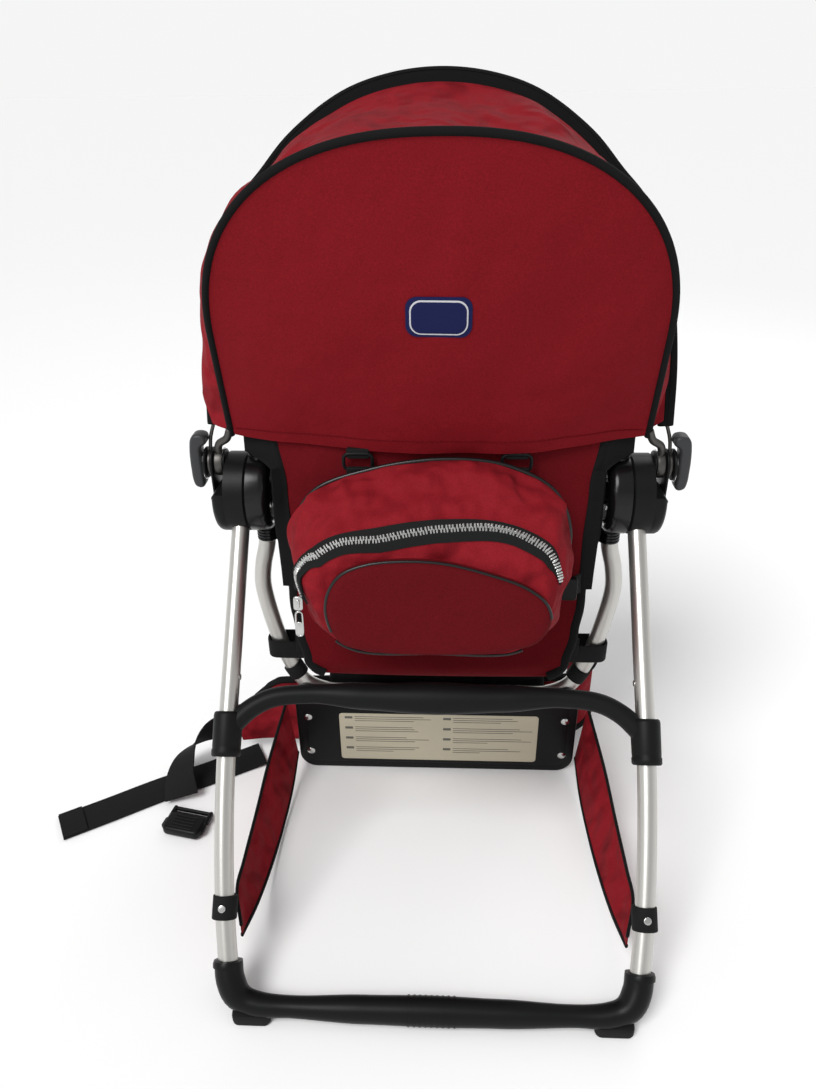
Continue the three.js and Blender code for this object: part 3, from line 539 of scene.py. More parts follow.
def hip_straps():
    flat = webbing_section(WEBBING_WIDTH, WEBBING_THICK)
    body = swept(spline(TAIL_ROUTE, 60), flat, TAIL_ACROSS, swell=0)
    end = Vector(TAIL_ROUTE[-1])
    back = (Vector(TAIL_ROUTE[-2]) - end).normalized()
    above = Vector((0, 0, WEBBING_THICK))
    turned_back = spline([tuple(end + back * run + above) for run in (26, 1)], 12)
    turned_back = swept(turned_back, webbing_section(37, 1.8), TAIL_ACROSS, swell=0)
    tail = piece("hip_tail_webbing", joined(body, turned_back), WEBBING, "hip_strap_tail")
    length_of(TAIL_ROUTE) * MM
    cord_path(TAIL_ROUTE)

    def across(t):
        return math.sin(LOOP_TWIST * t), 0, math.cos(LOOP_TWIST * t)

    piece("hip_loop_webbing", swept(spline(LOOP_ROUTE, 60), flat, across, swell=0), WEBBING, "hip_strap_loop")
    lying = CARRIER @ moved(*BUCKLE_AT) @ rotated(BUCKLE_TURN, "Z")
    piece("hip_buckle_half", buckle_half(), PLASTIC, "hip_buckle", place=lying)


def buckle_half():
    """The socket half of a side-release buckle, 48 wide, lying flat; its mouth points to -Y."""
    parts = [shifted(flat_plate(rounded_box(44, 25, 6), 0, 11, 3), y=-5)]
    for y in (10, 16.5):
        parts.append(shifted(flat_plate(rounded_box(46, 3.6, 1.7), 2, 7, 1.6), y=y))
    for x in (-21.5, 21.5):
        parts.append(shifted(flat_plate(rounded_box(4.4, 16, 2), 1.5, 7.5, 1.6), x=x, y=11))
        parts.append(shifted(flat_plate(rounded_box(5, 13, 2.4), 2.5, 8.5, 2), x=x * 1.03, y=-6))
    for y in range(-13, 4, 4):
        parts.append(shifted(flat_plate(rounded_box(26, 1.6, 0.7), 10.6, 11.8, 0.5), y=y))
    return joined(*parts)


# ---- frame tubes and hubs

TUBE_R = 8.75
MAIN_X = 176.5
MAIN_PATH = across_middle([
    (MAIN_X, 0, 349), (MAIN_X, 0, 305), (183, 0, 278), (186, 0, 255), (184, 0, 230), (174.5, 0, 180),
    (163, 0, 144), (150, 0, 120), (125, 0, 107.5), (88, 0, 107), (0, 0, 107)])
SHOULDER_PATH = across_middle([
    (MAIN_X, 0, 375), (MAIN_X, 3, 422), (175, 19, 492), (166, 33, 544), (140, 38.5, 570),
    (105, 40, 577), (0, 40, 577)])
STAND_X = 195.5
STAND_PATH = [(STAND_X, 0, -12), (STAND_X, 0, -150), (STAND_X, 0, -245), (193, 0, -320),
              (187.5, 0, -391), (179.5, 0, -450)]
BUTTON_X, BUTTON_Z = STAND_X - 9.4, -186
HUB_R, HUB_X0, HUB_X1 = 40, 163.5, 186
OUTER_X0, OUTER_X1 = 186.4, 206.5
# Where each screw of the inner hub sits: its angle about the hinge and its distance from it.
HUB_SCREWS = [(80, 29), (112, 25), (190, 24), (235, 30), (320, 28)]
CAP_HEIGHT, CAP_SWEEP = 13, 34


def frame_tubes():
    tube = oval(TUBE_R, TUBE_R, 32)
    piece("main_tube_bent", swept(spline(MAIN_PATH, 180), tube), ALUMINIUM, "main_tube")
    piece("shoulder_tube_bent", swept(spline(SHOULDER_PATH, 150), tube), ALUMINIUM, "shoulder_tube")
    pair("stand_tube_{}_bent", swept(spline(STAND_PATH, 80), tube), ALUMINIUM, "stand_tube_{}", **ON_STAND)
    button = shifted(rod(0, 1.2, 3, 0.6, 20), BUTTON_X, 0, BUTTON_Z)
    pair("stand_rivet_{}", button, STEEL, **ON_STAND)


def ribbed_collar(z0, z1, radius):
    """A collar along Z, ribbed at its open end z0 and plain towards the hub at z1."""
    step = (z1 - z0) / 7
    profile = [(z0, radius - 2.6)]
    for i in range(4):
        base = z0 + i * step
        profile += [(base, radius - 0.7), (base + 0.2 * step, radius), (base + 0.7 * step, radius),
                    (base + 0.9 * step, radius - 0.7)]
    profile += [(z0 + 4.2 * step, radius), (z1, radius), (z1, radius - 4)]
    return upright(turned(profile, 32), MAIN_X - 1.9)


def hub_screws():
    x = HUB_X0
    screw = turned([(x - 1.6, 0.4), (x - 1.5, 2.2), (x - 0.9, 3.2), (x + 1, 3.3), (x + 1, 0.4)], 16)
    places = [(radius, math.radians(angle)) for angle, radius in HUB_SCREWS]
    return joined(*(shifted(screw, y=r * math.cos(a), z=HINGE_Z + r * math.sin(a)) for r, a in places))


def hubs():
    x0, x1 = HUB_X0, HUB_X1
    barrel = turned([(x0, 8), (x0, 30), (x0 + 0.8, 31), (x0 + 0.8, 34), (x0 + 2.5, 37.5), (x0 + 6, 39.6),
                     (x0 + 9, HUB_R), (x1 - 1, HUB_R), (x1, HUB_R - 1), (x1, 8)], 72)
    inner = joined(shifted(barrel, z=HINGE_Z), ribbed_collar(309, 332, 11.3), ribbed_collar(412, 392, 11.3))
    pair("hub_inner_{}_barrel", inner, HUB_PLASTIC, "hub_inner_{}")
    pair("hub_screws_{}", hub_screws(), STEEL)
    head, tip = x0 - 0.3, 218.2
    bolt = turned([(head - 4.5, 0.5), (head - 4.5, 6), (head - 4, 7.6), (head - 2.4, 10.6), (head - 0.8, 11),
                   (head, 11), (head, 6), (tip, 6), (tip, 0.5)], 40)
    pair("pivot_bolt_{}_turned", shifted(bolt, z=HINGE_Z), DARK_STEEL, "pivot_bolt_{}")
    x0, x1 = OUTER_X0, OUTER_X1
    outer = turned([(x0, 7), (x0, HUB_R - 1.2), (x0 + 1.2, HUB_R), (x1, HUB_R), (x1, 7)], 72)
    pair("hub_outer_{}_barrel", joined(outer, notched_cap()), PLASTIC, "hub_outer_{}", **ON_STAND)


def notched_cap():
    """The hub's outer end, cut away where the canopy mount stays behind as the stand folds."""
    outline = []
    for angle in np.linspace(0, 2 * math.pi, 120, endpoint=False):
        reach = HUB_R
        for lean in (STAND_LEAN, STAND_LEAN - CAP_SWEEP / 2, STAND_LEAN - CAP_SWEEP):
            facing = math.cos(angle - math.pi / 2 - math.radians(lean))
            if facing > 1e-3:
                reach = min(reach, CAP_HEIGHT / facing)
        outline.append((reach * math.cos(angle), reach * math.sin(angle)))
    verts, faces = facing_x(slab(outline, 200.5, 218.5, 6, 5))
    verts[:, 0] = np.maximum(verts[:, 0], OUTER_X1 - 0.5)
    return verts, faces


def half_circle(y, z, radius, start):
    angles = np.linspace(start, start + math.pi, 14)
    return [(y + radius * math.cos(a), z + radius * math.sin(a)) for a in angles]


def canopy_mounts():
    web = half_circle(0, HINGE_Z, 17, math.pi) + half_circle(PIN_Y, PIN_Z, 15.5, 0)
    discs = [shifted(rod(a, b, r, e), y=PIN_Y, z=PIN_Z) for a, b, r, e in (
        (207.5, 209.1, 13.5, 0.4), (225.4, 228.3, 15.5, 1.2), (207.5, 228, 4.5, 0.3))]
    mount = joined(facing_x(slab(web, 218.8, 221.2, 0.8)), *discs)
    pair("canopy_mount_{}_block", mount, PLASTIC, "canopy_mount_{}")
    trim = shifted(facing_x(block((19, 28, 8), 228.6, 229.8, 0.5)), y=PIN_Y, z=PIN_Z - 3)
    ring = turned([(209.2, 12), (209.2, 14.4), (209.5, 14.9), (209.8, 14.4), (209.8, 12)], 40)
    pair("canopy_mount_{}_trim", joined(trim, shifted(ring, y=PIN_Y, z=PIN_Z)), STEEL)


LEVER_RIM = [(230.5, 380), (230.3, 374), (231.4, 370.2), (234, 369), (237, 371.2), (238.4, 378), (238.6, 388),
             (238.5, 400), (237.8, 412), (236.4, 421), (234, 424.6), (230, 425.3), (226.9, 423.8),
             (225.8, 419), (226.6, 415.4), (229, 413.2), (230.4, 409), (230.5, 402)]
LEVER_STEM_X, LEVER_WIDEN = 230.2, 1.45


def levers():
    outline = loop_in_xz(LEVER_RIM, 70)[:, [0, 2]]
    outline[:, 0] = LEVER_STEM_X + (outline[:, 0] - LEVER_STEM_X) * LEVER_WIDEN
    shape = slab(outline, -11, 7, 3.6, 5)
    for side, word in SIDES:
        piece(f"release_lever_{word}_grip", on_side(shape, side), LEVER, f"release_lever_{word}",
              body=f"lever_{word}")


# ---- plate, handle and foot bar

PLATE_WIDTH, PLATE_HEIGHT = 324, 124
PLATE_SCREWS_X, PLATE_SCREWS_Z = (-148, 148), (78, 26)
LABEL_COLUMNS, LABEL_TOP, LABEL_ROW = (-54, 60), 79, 15.5
PRINT_Y0, PRINT_Y1 = -15.35, -15.2


def lumbar_plate():
    middle = PLATE_HEIGHT / 2
    body = block((PLATE_WIDTH, PLATE_HEIGHT, 20, 8), -14, -9, 2.2, 4, at=(0, middle))
    raised = block((PLATE_WIDTH - 20, PLATE_HEIGHT - 20, 14, 8), -14.6, -12, 0.8, at=(0, middle))
    piece("lumbar_plate_moulded", joined(body, raised), PLASTIC, "lumbar_plate")
    sheet = block((230, 70, 4), -15.2, -14.7, 0.2, at=(3, 50))
    piece("info_label_film", sheet, PAPER, "info_label")
    piece("info_label_rules", printed_rules(), PRINT)
    head = turned([(0, 0.4), (0, 4.6), (0.9, 4.6), (2.0, 3.4), (2.4, 1.6), (2.45, 0.4)], 24)
    head = reshaped(head, rotated(-90, "Z"))
    places = [(x, z) for x in PLATE_SCREWS_X for z in PLATE_SCREWS_Z]
    for number, (x, z) in enumerate(places, 1):
        piece(f"plate_screw_{number}_head", shifted(head, x, -14.4, z), STEEL, f"plate_screw_{number}")


def printed_rules():
    """Blank rules in two columns where a label would carry small print."""
    rules = []
    draw = np.random.default_rng(7)

    def rule(width, height, radius, x, z):
        rules.append(block((width, height, radius, 1), PRINT_Y0, PRINT_Y1, 0.05, 1, at=(x, z)))

    for column in LABEL_COLUMNS:
        for row in range(4):
            z = LABEL_TOP - LABEL_ROW * row
            rule(9, 3.4, 0.4, column - 47, z)
            for line in range(3):
                width = float(draw.uniform(60, 92) if line < 2 else draw.uniform(30, 80))
                rule(width, 0.8, 0.3, column - 40 + width / 2, z + 1.2 - 3 * line)
    return joined(*rules)


BAR_RINGS = 120
HANDLE_REACH, FOOT_REACH = 203, 471.5
# The bars' routes start at the right leg; heights and depths are by distance from the middle.
HANDLE_ROUTE = [(195.5, 0, -34), (187, 0, -24), (174, 0, -12), (154, 0, -2), (118, 0, 2), (60, 0, 0.5),
                (0, 0, 0)]
HANDLE_HEIGHT = [(0, 15.3), (68, 12.5), (118, 9), (196, 9.5)]
HANDLE_DEPTH = [(0, 12.5), (68, 11.5), (118, 9), (196, 9.5)]
FOOT_ROUTE = [(181, 0, 35), (178.5, 0, 21), (171, 0, 8), (155, 0, 1.5), (120, 0, 0), (0, 0, 0)]
FOOT_HEIGHT = [(0, 12.4), (60, 11.5), (125, 9), (160, 10.5), (178, 12.6)]
FOOT_DEPTH = [(0, 11), (60, 10.5), (125, 9), (160, 10.5), (178, 12.6)]
CLAMP_X, CLAMP_Z = 187.3, -391


def moulded_bar(route, reach, height, depth):
    """A bar between the legs; its half height and half depth follow the distance from its middle."""
    path = spline(np.array(across_middle(route)) - (0, 0, reach), BAR_RINGS)

    def section(t):
        out = abs(path[round(t * (BAR_RINGS - 1)), 0])
        return oval(along(depth, out), along(height, out), 32)

    return swept(path, section, BACKWARDS, swell=0)


def handle():
    grip = moulded_bar(HANDLE_ROUTE, HANDLE_REACH, HANDLE_HEIGHT, HANDLE_DEPTH)
    sleeve = upright(turned([(-260, 9), (-260, 12.6), (-258.6, 13.7), (-254, 13.9), (-252.5, 13.2),
                             (-250, 13.4), (-222, 13.8), (-219.6, 13.2), (-218.5, 11.8), (-218.5, 9)], 36),
                     STAND_X)
    piece("stand_handle_grip", joined(grip, sleeve, flipped(sleeve)), GRIP, "stand_handle", **ON_STAND)


def foot_bar():
    bar = moulded_bar(FOOT_ROUTE, FOOT_REACH, FOOT_HEIGHT, FOOT_DEPTH)
    rib = spline([(-0.9, 0, -FOOT_REACH), (0.9, 0, -FOOT_REACH)], 3)
    rib = swept(rib, oval(11.3, 12.7, 32), BACKWARDS, swell=0)
    rim = upright(turned([(-441, 10), (-441, 13), (-438, 13.3), (-435.4, 12.6), (-434.6, 9)], 32), 181.4)
    ribs = [shifted(rib, x) for x in range(-20, 21, 5)]
    piece("foot_bar_moulded", joined(bar, rim, flipped(rim), *ribs), PLASTIC, "foot_bar", **ON_STAND)
    foot_y = -FOOT_REACH * math.sin(math.radians(STAND_LEAN))
    pad = shifted(flat_plate(rounded_box(34, 24, 6), 0, 11, 2), 158, foot_y + 1)
    pair("foot_pad_{}_block", pad, RUBBER, "foot_pad_{}", body="stand")


def tube_clamps():
    band = turned([(-10, 9), (-10, 10.8), (-9.4, 11.2), (9.4, 11.2), (10, 10.8), (10, 9)], 32)
    band = shifted(upright(band, CLAMP_X), z=CLAMP_Z)
    pair("tube_clamp_{}_band", band, WEBBING, "tube_clamp_{}", **ON_STAND)
    rivet = reshaped(rod(0, 1.6, 3.4, 0.7, 20), rotated(90, "Z"))
    pair("tube_clamp_{}_rivet", shifted(rivet, CLAMP_X, -12.6, CLAMP_Z), STEEL, **ON_STAND)


# ---- cloth helpers

STITCH_STEP, STITCH_WIDTH, STITCH_LENGTH = 4.4, 0.5, 2.6
PUFF_PRESSURE, PUFF_LIMIT, PUFF_FRAMES, VOXEL = 4.0, 0.006, 20, 0.005


def ripple(place, size, seed):
    """Smooth noise from about -1 to 1; size is the folds' spacing in millimetres."""
    return noise.noise(Vector(place) / size + Vector((seed, seed * 0.37, seed * 1.7)))


def binding(path, side, width, thick, sides=16):
    """A folded tape carried along an edge."""
    return swept(path, oval(width / 2, thick / 2, sides), side)


def stitches(path):
    """A row of short raised stitches along a path."""
    run = np.concatenate([[0], np.cumsum(np.linalg.norm(np.diff(path, axis=0), axis=1))])
    half = STITCH_LENGTH / 2
    shapes = []
    for mark in np.arange(STITCH_STEP, run[-1] - STITCH_STEP, STITCH_STEP):
        ends = [[np.interp(mark + d, run, path[:, k]) for k in range(3)] for d in (-half, half)]
        shapes.append(swept(np.linspace(*ends, 4), oval(STITCH_WIDTH / 2, STITCH_WIDTH / 2, 6)))
    return joined(*shapes)


def inflated(obj, held):
    """Lets pressure blow a mesh up where held(place) leaves it free, by no more than the limit."""
    before = np.array([v.co for v in obj.data.vertices], float)
    pins = obj.vertex_groups.new(name="held")
    for i, place in enumerate(before):
        grip = held(place / MM)
        if grip > 0:
            pins.add([i], min(1.0, grip), "REPLACE")
    cloth = obj.modifiers.new("cloth", "CLOTH")
    cloth.settings.vertex_group_mass = "held"
    cloth.settings.use_pressure = True
    cloth.settings.uniform_pressure_force = PUFF_PRESSURE
    cloth.settings.quality = 5
    cloth.settings.effector_weights.gravity = 0
    cloth.settings.tension_stiffness = 12
    cloth.settings.compression_stiffness = 12
    cloth.settings.bending_stiffness = 0.4
    cloth.collision_settings.use_collision = False
    cloth.collision_settings.use_self_collision = False
    for step in range(PUFF_FRAMES):
        bpy.context.scene.frame_set(step + 1)
    bake(obj)
    bpy.context.scene.frame_set(1)
    moves = np.array([v.co for v in obj.data.vertices], float) - before
    length = np.linalg.norm(moves, axis=1, keepdims=True)
    after = before + moves * np.minimum(1, PUFF_LIMIT / np.maximum(length, 1e-9))
    obj.data.vertices.foreach_set("co", after.ravel().astype(np.float32))
    obj.vertex_groups.clear()


def padded_piece(name, shape, node, held):
    """A black cloth pad on the frame, blown up a little where it isn't held down."""
    obj = piece(name, shape, BLACK_CLOTH, node, rides=False)
    remesh = obj.modifiers.new("even", "REMESH")
    remesh.mode = "VOXEL"
    remesh.voxel_size = VOXEL
    bake(obj)
    inflated(obj, held)
    obj.modifiers.new("calm", "SMOOTH").iterations = 2
    refined(obj, 80)
    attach(obj, "main_frame")


# ---- canopy

ARCH_HALF, ARCH_STRAIGHT, ARCH_RISE, ARCH_POWER = 197, 137, 167.4, 2.35
ARCH_FOOT, SHOULDER_TURN = 34, 0.62
FRONT_POINTS = 241
FRONT_ARCH = spline(across_middle([
    (217, 0, 38), (214.5, 0, 97), (207, 0, 152), (194, 0, 200), (177, 0, 233), (154, 0, 258),
    (126, 0, 288), (82, 0, 318), (42, 0, 331), (0, 0, 335.3)]), FRONT_POINTS)
REAR_FOOT = [(213.6, 0, 8), (213.6, 0, 16), (211, 0, 23), (203, 0, 29), (198, 0, 40)]
FRONT_WIRE = [(223.3, 0, 11), (222, 0, 25), (217, 0, 42)]
CURTAIN_HALF, CURTAIN_GAP = 194.5, 1.5
# How far round the hoops the top cloth reaches, and how far it stays off each hoop.
TOP_END, TOP_GAP = 0.985, 2.8
# Creases of the canopy's top: where each starts and ends along the hoops, its width and height.
CREASES = [(-0.42, -0.24, 0.1, 6), (0.4, 0.28, 0.1, 6), (0.08, 0.02, 0.08, -5), (-0.1, -0.12, 0.07, 3),
           (0.2, 0.17, 0.06, 3)]
BADGE_X, BADGE_HEIGHT = 1, 176.5
# The badge's layers: width, height and corner radius, and how far each stands out.
BADGE_LAYERS = [("badge_border", (53.6, 32.4, 9), 1.3, NAVY),
                ("badge_inner_line", (47.2, 27.8, 9), 1.8, WHITE_THREAD),
                ("badge_centre", (44.8, 25.4, 8), 2.1, NAVY)]
BADGE_RINGS = [(1.0, 0.9), (0.995, 0.15), (0.97, 0), (0.7, 0), (0.4, 0), (0.05, 0)]


def rear_arch(turn):
    """The rear hoop's centre line in its own plane, turn from -1 to 1 over the top."""
    side, low = np.sign(turn), abs(turn)
    if low > SHOULDER_TURN:
        down = (low - SHOULDER_TURN) / (1 - SHOULDER_TURN)
        return np.array((side * ARCH_HALF, 0, mix(ARCH_STRAIGHT, ARCH_FOOT, down)))
    angle = low / SHOULDER_TURN * math.pi / 2
    return np.array((side * ARCH_HALF * math.sin(angle) ** (2 / ARCH_POWER), 0,
                     ARCH_STRAIGHT + ARCH_RISE * max(0, math.cos(angle)) ** (2 / ARCH_POWER)))


def front_arch(by):
    """The front hoop's line moved towards its middle, further at the top than at its ends."""
    reach = np.linalg.norm(FRONT_ARCH, axis=1, keepdims=True)
    high = np.clip(FRONT_ARCH[:, 2:] / 300, 0, 1)
    return FRONT_ARCH * (1 - by * high / reach)


def curtain_hem(across):
    return 36 + 5 * (1 - across ** 2)


def curtain_top(across):
    shape = max(0.0, 1 - abs(across) ** ARCH_POWER) ** (1 / ARCH_POWER)
    return ARCH_STRAIGHT + (ARCH_RISE - CURTAIN_GAP) * shape


def curtain_point(u, v):
    """The rear curtain in the rear hoop's plane: u across, v from the hem to the hoop."""
    across = math.sin((u - 0.5) * math.pi)
    h = mix(curtain_hem(across), curtain_top(across), v)
    x = across * (CURTAIN_HALF - CURTAIN_GAP * (1 - min(1, h / ARCH_STRAIGHT)))
    bulge = (1 - v * v) * (1 - abs(across) ** 1.8)
    free = min(1, 4 * (1 - v)) * (1 - abs(across) ** 6)
    folds = (5.0 * ripple((x, 0, h * 0.8), 95, 3) + 1.3 * ripple((x * 1.5, 0, h), 38, 8)) * free
    folds += 2.2 * math.sin(across * 9 + 0.6) * (1 - v) ** 3 * (1 - abs(across) ** 3)
    return x, -36 * bulge - 6 * math.sin(math.pi * v) * (1 - across ** 4) + folds, h


def curtain_at(x, h):
    """The curtain's place at x and height h in the rear hoop's plane."""
    across = x / CURTAIN_HALF
    hem, top = curtain_hem(across), curtain_top(across)
    return np.array(curtain_point(0.5 + math.asin(across) / math.pi, (h - hem) / (top - hem)))


def curtain():
    cloth = piece("curtain_cloth", grid(curtain_point, 120, 70), RED, "canopy_curtain", place=REAR, thick=1.6,
                  rides=False)
    hem_line = np.array([curtain_point(u, 0.052) for u in np.linspace(0.02, 0.98, 90)])
    hem = piece("curtain_hem_stitches", stitches(hem_line + (0, -2.7, 0)), SHADED_DEEP_RED, place=REAR,
                slot="red_cloth", rides=False)
    fold = grid(lambda u, v: np.add(curtain_point(mix(0.005, 0.995, u), 0.05 * v), (0, -1.5, 0)), 90, 2)
    fold = piece("curtain_hem_fold", fold, RED, place=REAR, thick=0.9, rides=False)
    for part in (cloth, hem, fold):
        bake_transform(part)


def badge():
    """A plain sewn patch on the curtain, without lettering."""
    for name, size, lift, material in BADGE_LAYERS:
        outline = rounded_box(*size, 8)
        rings = []
        for scale, sink in BADGE_RINGS:
            places = outline * scale + (BADGE_X, BADGE_HEIGHT)
            rings.append([curtain_at(x, h) - (0, lift + 1.6 - sink, 0) for x, h in places])
        patch = piece(name, lofted(rings), material, place=REAR, rides=False)
        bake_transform(patch)


def rear_hoop():
    on_hoop = {"place": REAR, "body": "canopy_rear"}
    arch = np.array([rear_arch(t) for t in np.linspace(-1, 1, 220)])
    piece("rear_hoop_piping", swept(arch, oval(3.8, 3.4, 20), BACKWARDS), BLACK_CLOTH, "canopy_rear_hoop",
          **on_hoop)
    foot = joined(swept(spline(REAR_FOOT, 30), oval(3.8, 3.8, 20)), rod(210, 218, 13, 1.2, 48))
    pair("rear_hoop_{}_foot", foot, DARK_STEEL, **on_hoop)


def front_hoop():
    on_hoop = {"place": FRONT, "body": "canopy_front"}

    def casing(t):
        return rounded_box(6.6, mix(15, 22, math.sin(math.pi * t) ** 0.7), 3, 4)

    seams = [swept(front_arch(by) + (0, -3.4, 0), oval(0.35, 0.35, 6)) for by in (-4.5, 11)]
    piece("front_hoop_casing", joined(swept(front_arch(3.5), casing, BACKWARDS), *seams), BLACK_CLOTH,
          "canopy_front_hoop", **on_hoop)
    wire = joined(swept(spline(FRONT_WIRE, 16), oval(1.8, 1.8, 14)), rod(221.7, 224.7, 12, 0.7, 40))
    pair("front_hoop_{}_wire", wire, DARK_STEEL, **on_hoop)


def canopy_top():
    tilt_rear = np.array(rotated(REAR_TILT))[:3, :3]
    tilt_front = np.array(rotated(-FRONT_TILT))[:3, :3]
    front_line = front_arch(4)

    def top_point(u, v):
        turn = mix(-TOP_END, TOP_END, u)
        rear = tilt_rear @ rear_arch(turn)
        front = tilt_front @ front_line[int(round((1 - turn) / 2 * (FRONT_POINTS - 1)))]
        start = TOP_GAP / np.linalg.norm(front - rear)
        at = mix(rear, front, mix(start, 1 - start, v))
        out = np.array((at[0], 0, at[2] * 0.6))
        out /= np.linalg.norm(out)
        sag = -3.5 * max(0.0, 1 - abs(turn) * 1.2)
        billow = 17 * math.exp(-((turn + 0.72) / 0.3) ** 4) + 5 * math.exp(-((turn - 0.7) / 0.2) ** 2)
        creases = sum(height * max(0, 1 - abs(turn - mix(near, far, v)) / wide)
                      for near, far, wide, height in CREASES)
        creases -= 6 * max(0, 1 - abs(v - 0.3 - 0.1 * turn) / 0.25) * max(0, 1 - abs(turn) / 0.42)
        folds = 5.0 * ripple(at, 52, 5) + 2.0 * ripple(at, 24, 21) + 1.6 * math.sin(turn * 30 + 3 * v)
        free = math.sin(math.pi * v) ** 0.8
        return at + out * (sag + billow + creases + folds) * free

    top = piece("canopy_top_cloth", grid(top_point, 220, 26), BAG_RED, "canopy_top", place=CANOPY, thick=1.2,
                inside=0, rides=False)
    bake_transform(top)


# ---- seat

SEAT_LOW, SEAT_HIGH = 188, 520
SEAT_SPINE = [(SEAT_LOW, -68), (191, -77), (195, -82), (200, -85), (207, -87), (240, -80), (320, -63),
              (427, -40), (SEAT_HIGH, -20)]
SEAT_HALF = [(SEAT_LOW, 106), (194, 116), (200, 122), (207, 129), (240, 137), (270, 142), (320, 144),
             (380, 148), (430, 156), (SEAT_HIGH, 144)]
SEAT_WRAP = [(SEAT_LOW, 1), (207, 8), (300, 14), (380, 20), (SEAT_HIGH, 22)]
# How far out and how far back the outer edges of the black side cloths lie, by height.
COVER_LOW, FLAP_LOW, FLAP_HIGH = 324, 286, 400
COVER_EDGE = [(COVER_LOW, 156), (330, 158), (345, 159), (398, 160), (404, 172), (410, 186), (SEAT_HIGH, 189)]
COVER_DEPTH = [(COVER_LOW, -39), (396, -27), (408, -13), (422, -10), (492, 6), (SEAT_HIGH, 13)]
FLAP_EDGE = [(FLAP_LOW, 152), (330, 155), (FLAP_HIGH, 157)]
FLAP_DEPTH = [(FLAP_LOW, -55), (330, -45), (FLAP_HIGH, -33)]
BOTTOM_SWEEP, BOTTOM_FRONT, BOTTOM_BACK = 184, math.radians(26), math.radians(-13.5)
HARNESS_HEIGHTS = (490, 430, 360, 290, 240)


def seat_spine(z):
    return steady(SEAT_SPINE, z)


def seat_point(u, z):
    """The seat back's outer face, u from -1 to 1 across."""
    return np.array((u * along(SEAT_HALF, z), seat_spine(z) + along(SEAT_WRAP, z) * u * u, z))


def cover_point(u, v):
    """The black cloth from the seat's edge out over the hub and the shoulder tube."""
    z = mix(COVER_LOW - 3 * u, SEAT_HIGH, v)
    edge = seat_point(1, z)
    wave = 1.6 * ripple((u * 60, 0, z), 30, 14) * math.sin(math.pi * u)
    x, y = mix(edge[0] - 3, steady(COVER_EDGE, z), u), mix(edge[1] - 1, steady(COVER_DEPTH, z), u ** 1.3)
    return x, y + wave, z


def flap_point(u, v):
    """A second, longer flap under the seat's edge."""
    z = mix(FLAP_LOW - 1.5 * u, FLAP_HIGH, v)
    edge = seat_point(1, z)
    wave = 1.0 * ripple((u * 40, 0, z), 26, 17)
    x, y = mix(edge[0] - 4, steady(FLAP_EDGE, z), u), mix(edge[1] - 2.2, steady(FLAP_DEPTH, z) - 1, u)
    return x, y + wave, z


def side_point(u, v):
    """The black side cloth from the seat's edge to the wearer's back."""
    z = mix(mix(302, 318, u), mix(505, 470, u), v)
    at = seat_point(1, z)
    x = mix(at[0] + 4, 153, min(1, 2.2 * u)) + 2 * math.sin(math.pi * u)
    return min(x, 154) + 1.2 * ripple((0, u * 120, z), 45, 6), mix(at[1] + 4, 44, u), z


def seat_cloth():
    def face(u, v):
        across = 2 * u - 1
        at = seat_point(across, mix(SEAT_LOW, SEAT_HIGH, v ** 1.15))
        free = (1 - across ** 4) * math.sin(math.pi * min(1, v * 1.05)) ** 0.5
        return at + (0, (1.6 * ripple(at, 60, 2) + 0.7 * ripple(at, 24, 4)) * free, 0)

    piece("seat_back_cloth", grid(face, 60, 70), SHADED_SEAT_RED, "seat_back", thick=6, inside=1)
    edge = [seat_point(1, z) + (-1, 2.5, 0) for z in np.linspace(SEAT_HIGH, 206, 40)]
    edge += [(121, -79, 199.5), (113, -79.5, 195.5)]
    pair("seat_back_{}_binding", binding(spline(edge, 130), (0, 1, 0.25), 8.5, 11), BLACK_CLOTH)
    pair("seat_side_{}_cloth", grid(side_point, 34, 60), BLACK_CLOTH, "seat_side_{}", thick=3.5)
    pair("seat_cover_{}_cloth", grid(cover_point, 18, 60), BLACK_CLOTH, thick=1.8, inside=1)
    pair("seat_flap_{}_cloth", grid(flap_point, 14, 40), BLACK_CLOTH, thick=1.8, inside=1)


def seat_bottom():
    def bottom_point(u, v):
        angle = mix(BOTTOM_FRONT, BOTTOM_BACK, v)
        x = mix(-1, 1, u) * mix(112, 122, v)
        return x, -BOTTOM_SWEEP * math.sin(angle), HINGE_Z - BOTTOM_SWEEP * math.cos(angle)

    base = piece("seat_bottom_cloth", grid(bottom_point, 40, 34), SHADED_DEEP_RED, "seat_bottom", thick=6)


def harness():
    points = [(mix(58, 26, i / 4), seat_spine(z) + 15, z) for i, z in enumerate(HARNESS_HEIGHTS)]
    strap = swept(spline(points, 60), webbing_section(25, 2), SIDEWAYS, swell=0)
    pair("harness_strap_{}_webbing", strap, WEBBING, "harness_strap_{}")
    adjuster = shifted(block((32, 24, 4), -2.6, 2.6, 1.4), 45, seat_spine(400) + 16, 400)
    pair("harness_adjuster_{}", adjuster, PLASTIC)


def tube_loops():
    """Webbing loops that hold the seat to the main tube, with a tab and a wrap each."""
    ring = spline([(157.5 + x, y, HINGE_Z - 190) for x, y in rounded_box(57.5, 22.5, 9)], 60, closed=True)
    pair("tube_loop_{}_webbing", swept(ring, webbing_section(22, 2.2), UPWARDS, loop=True), WEBBING,
         "tube_loop_{}")
    pair("tube_tab_{}", block((26, 22, 2), -16, -12.5, 0.8, at=(141, 184)), WEBBING)
    wrap = upright(turned([(-8, 8), (-8, 10.6), (-7.4, 11), (7.4, 11), (8, 10.6), (8, 8)], 32))
    wrap = reshaped(wrap, rotated(27, "Y"))
    pair("tube_wrap_{}", shifted(wrap, 159.6, 0, 137.5), WEBBING)


# ---- wearer's side

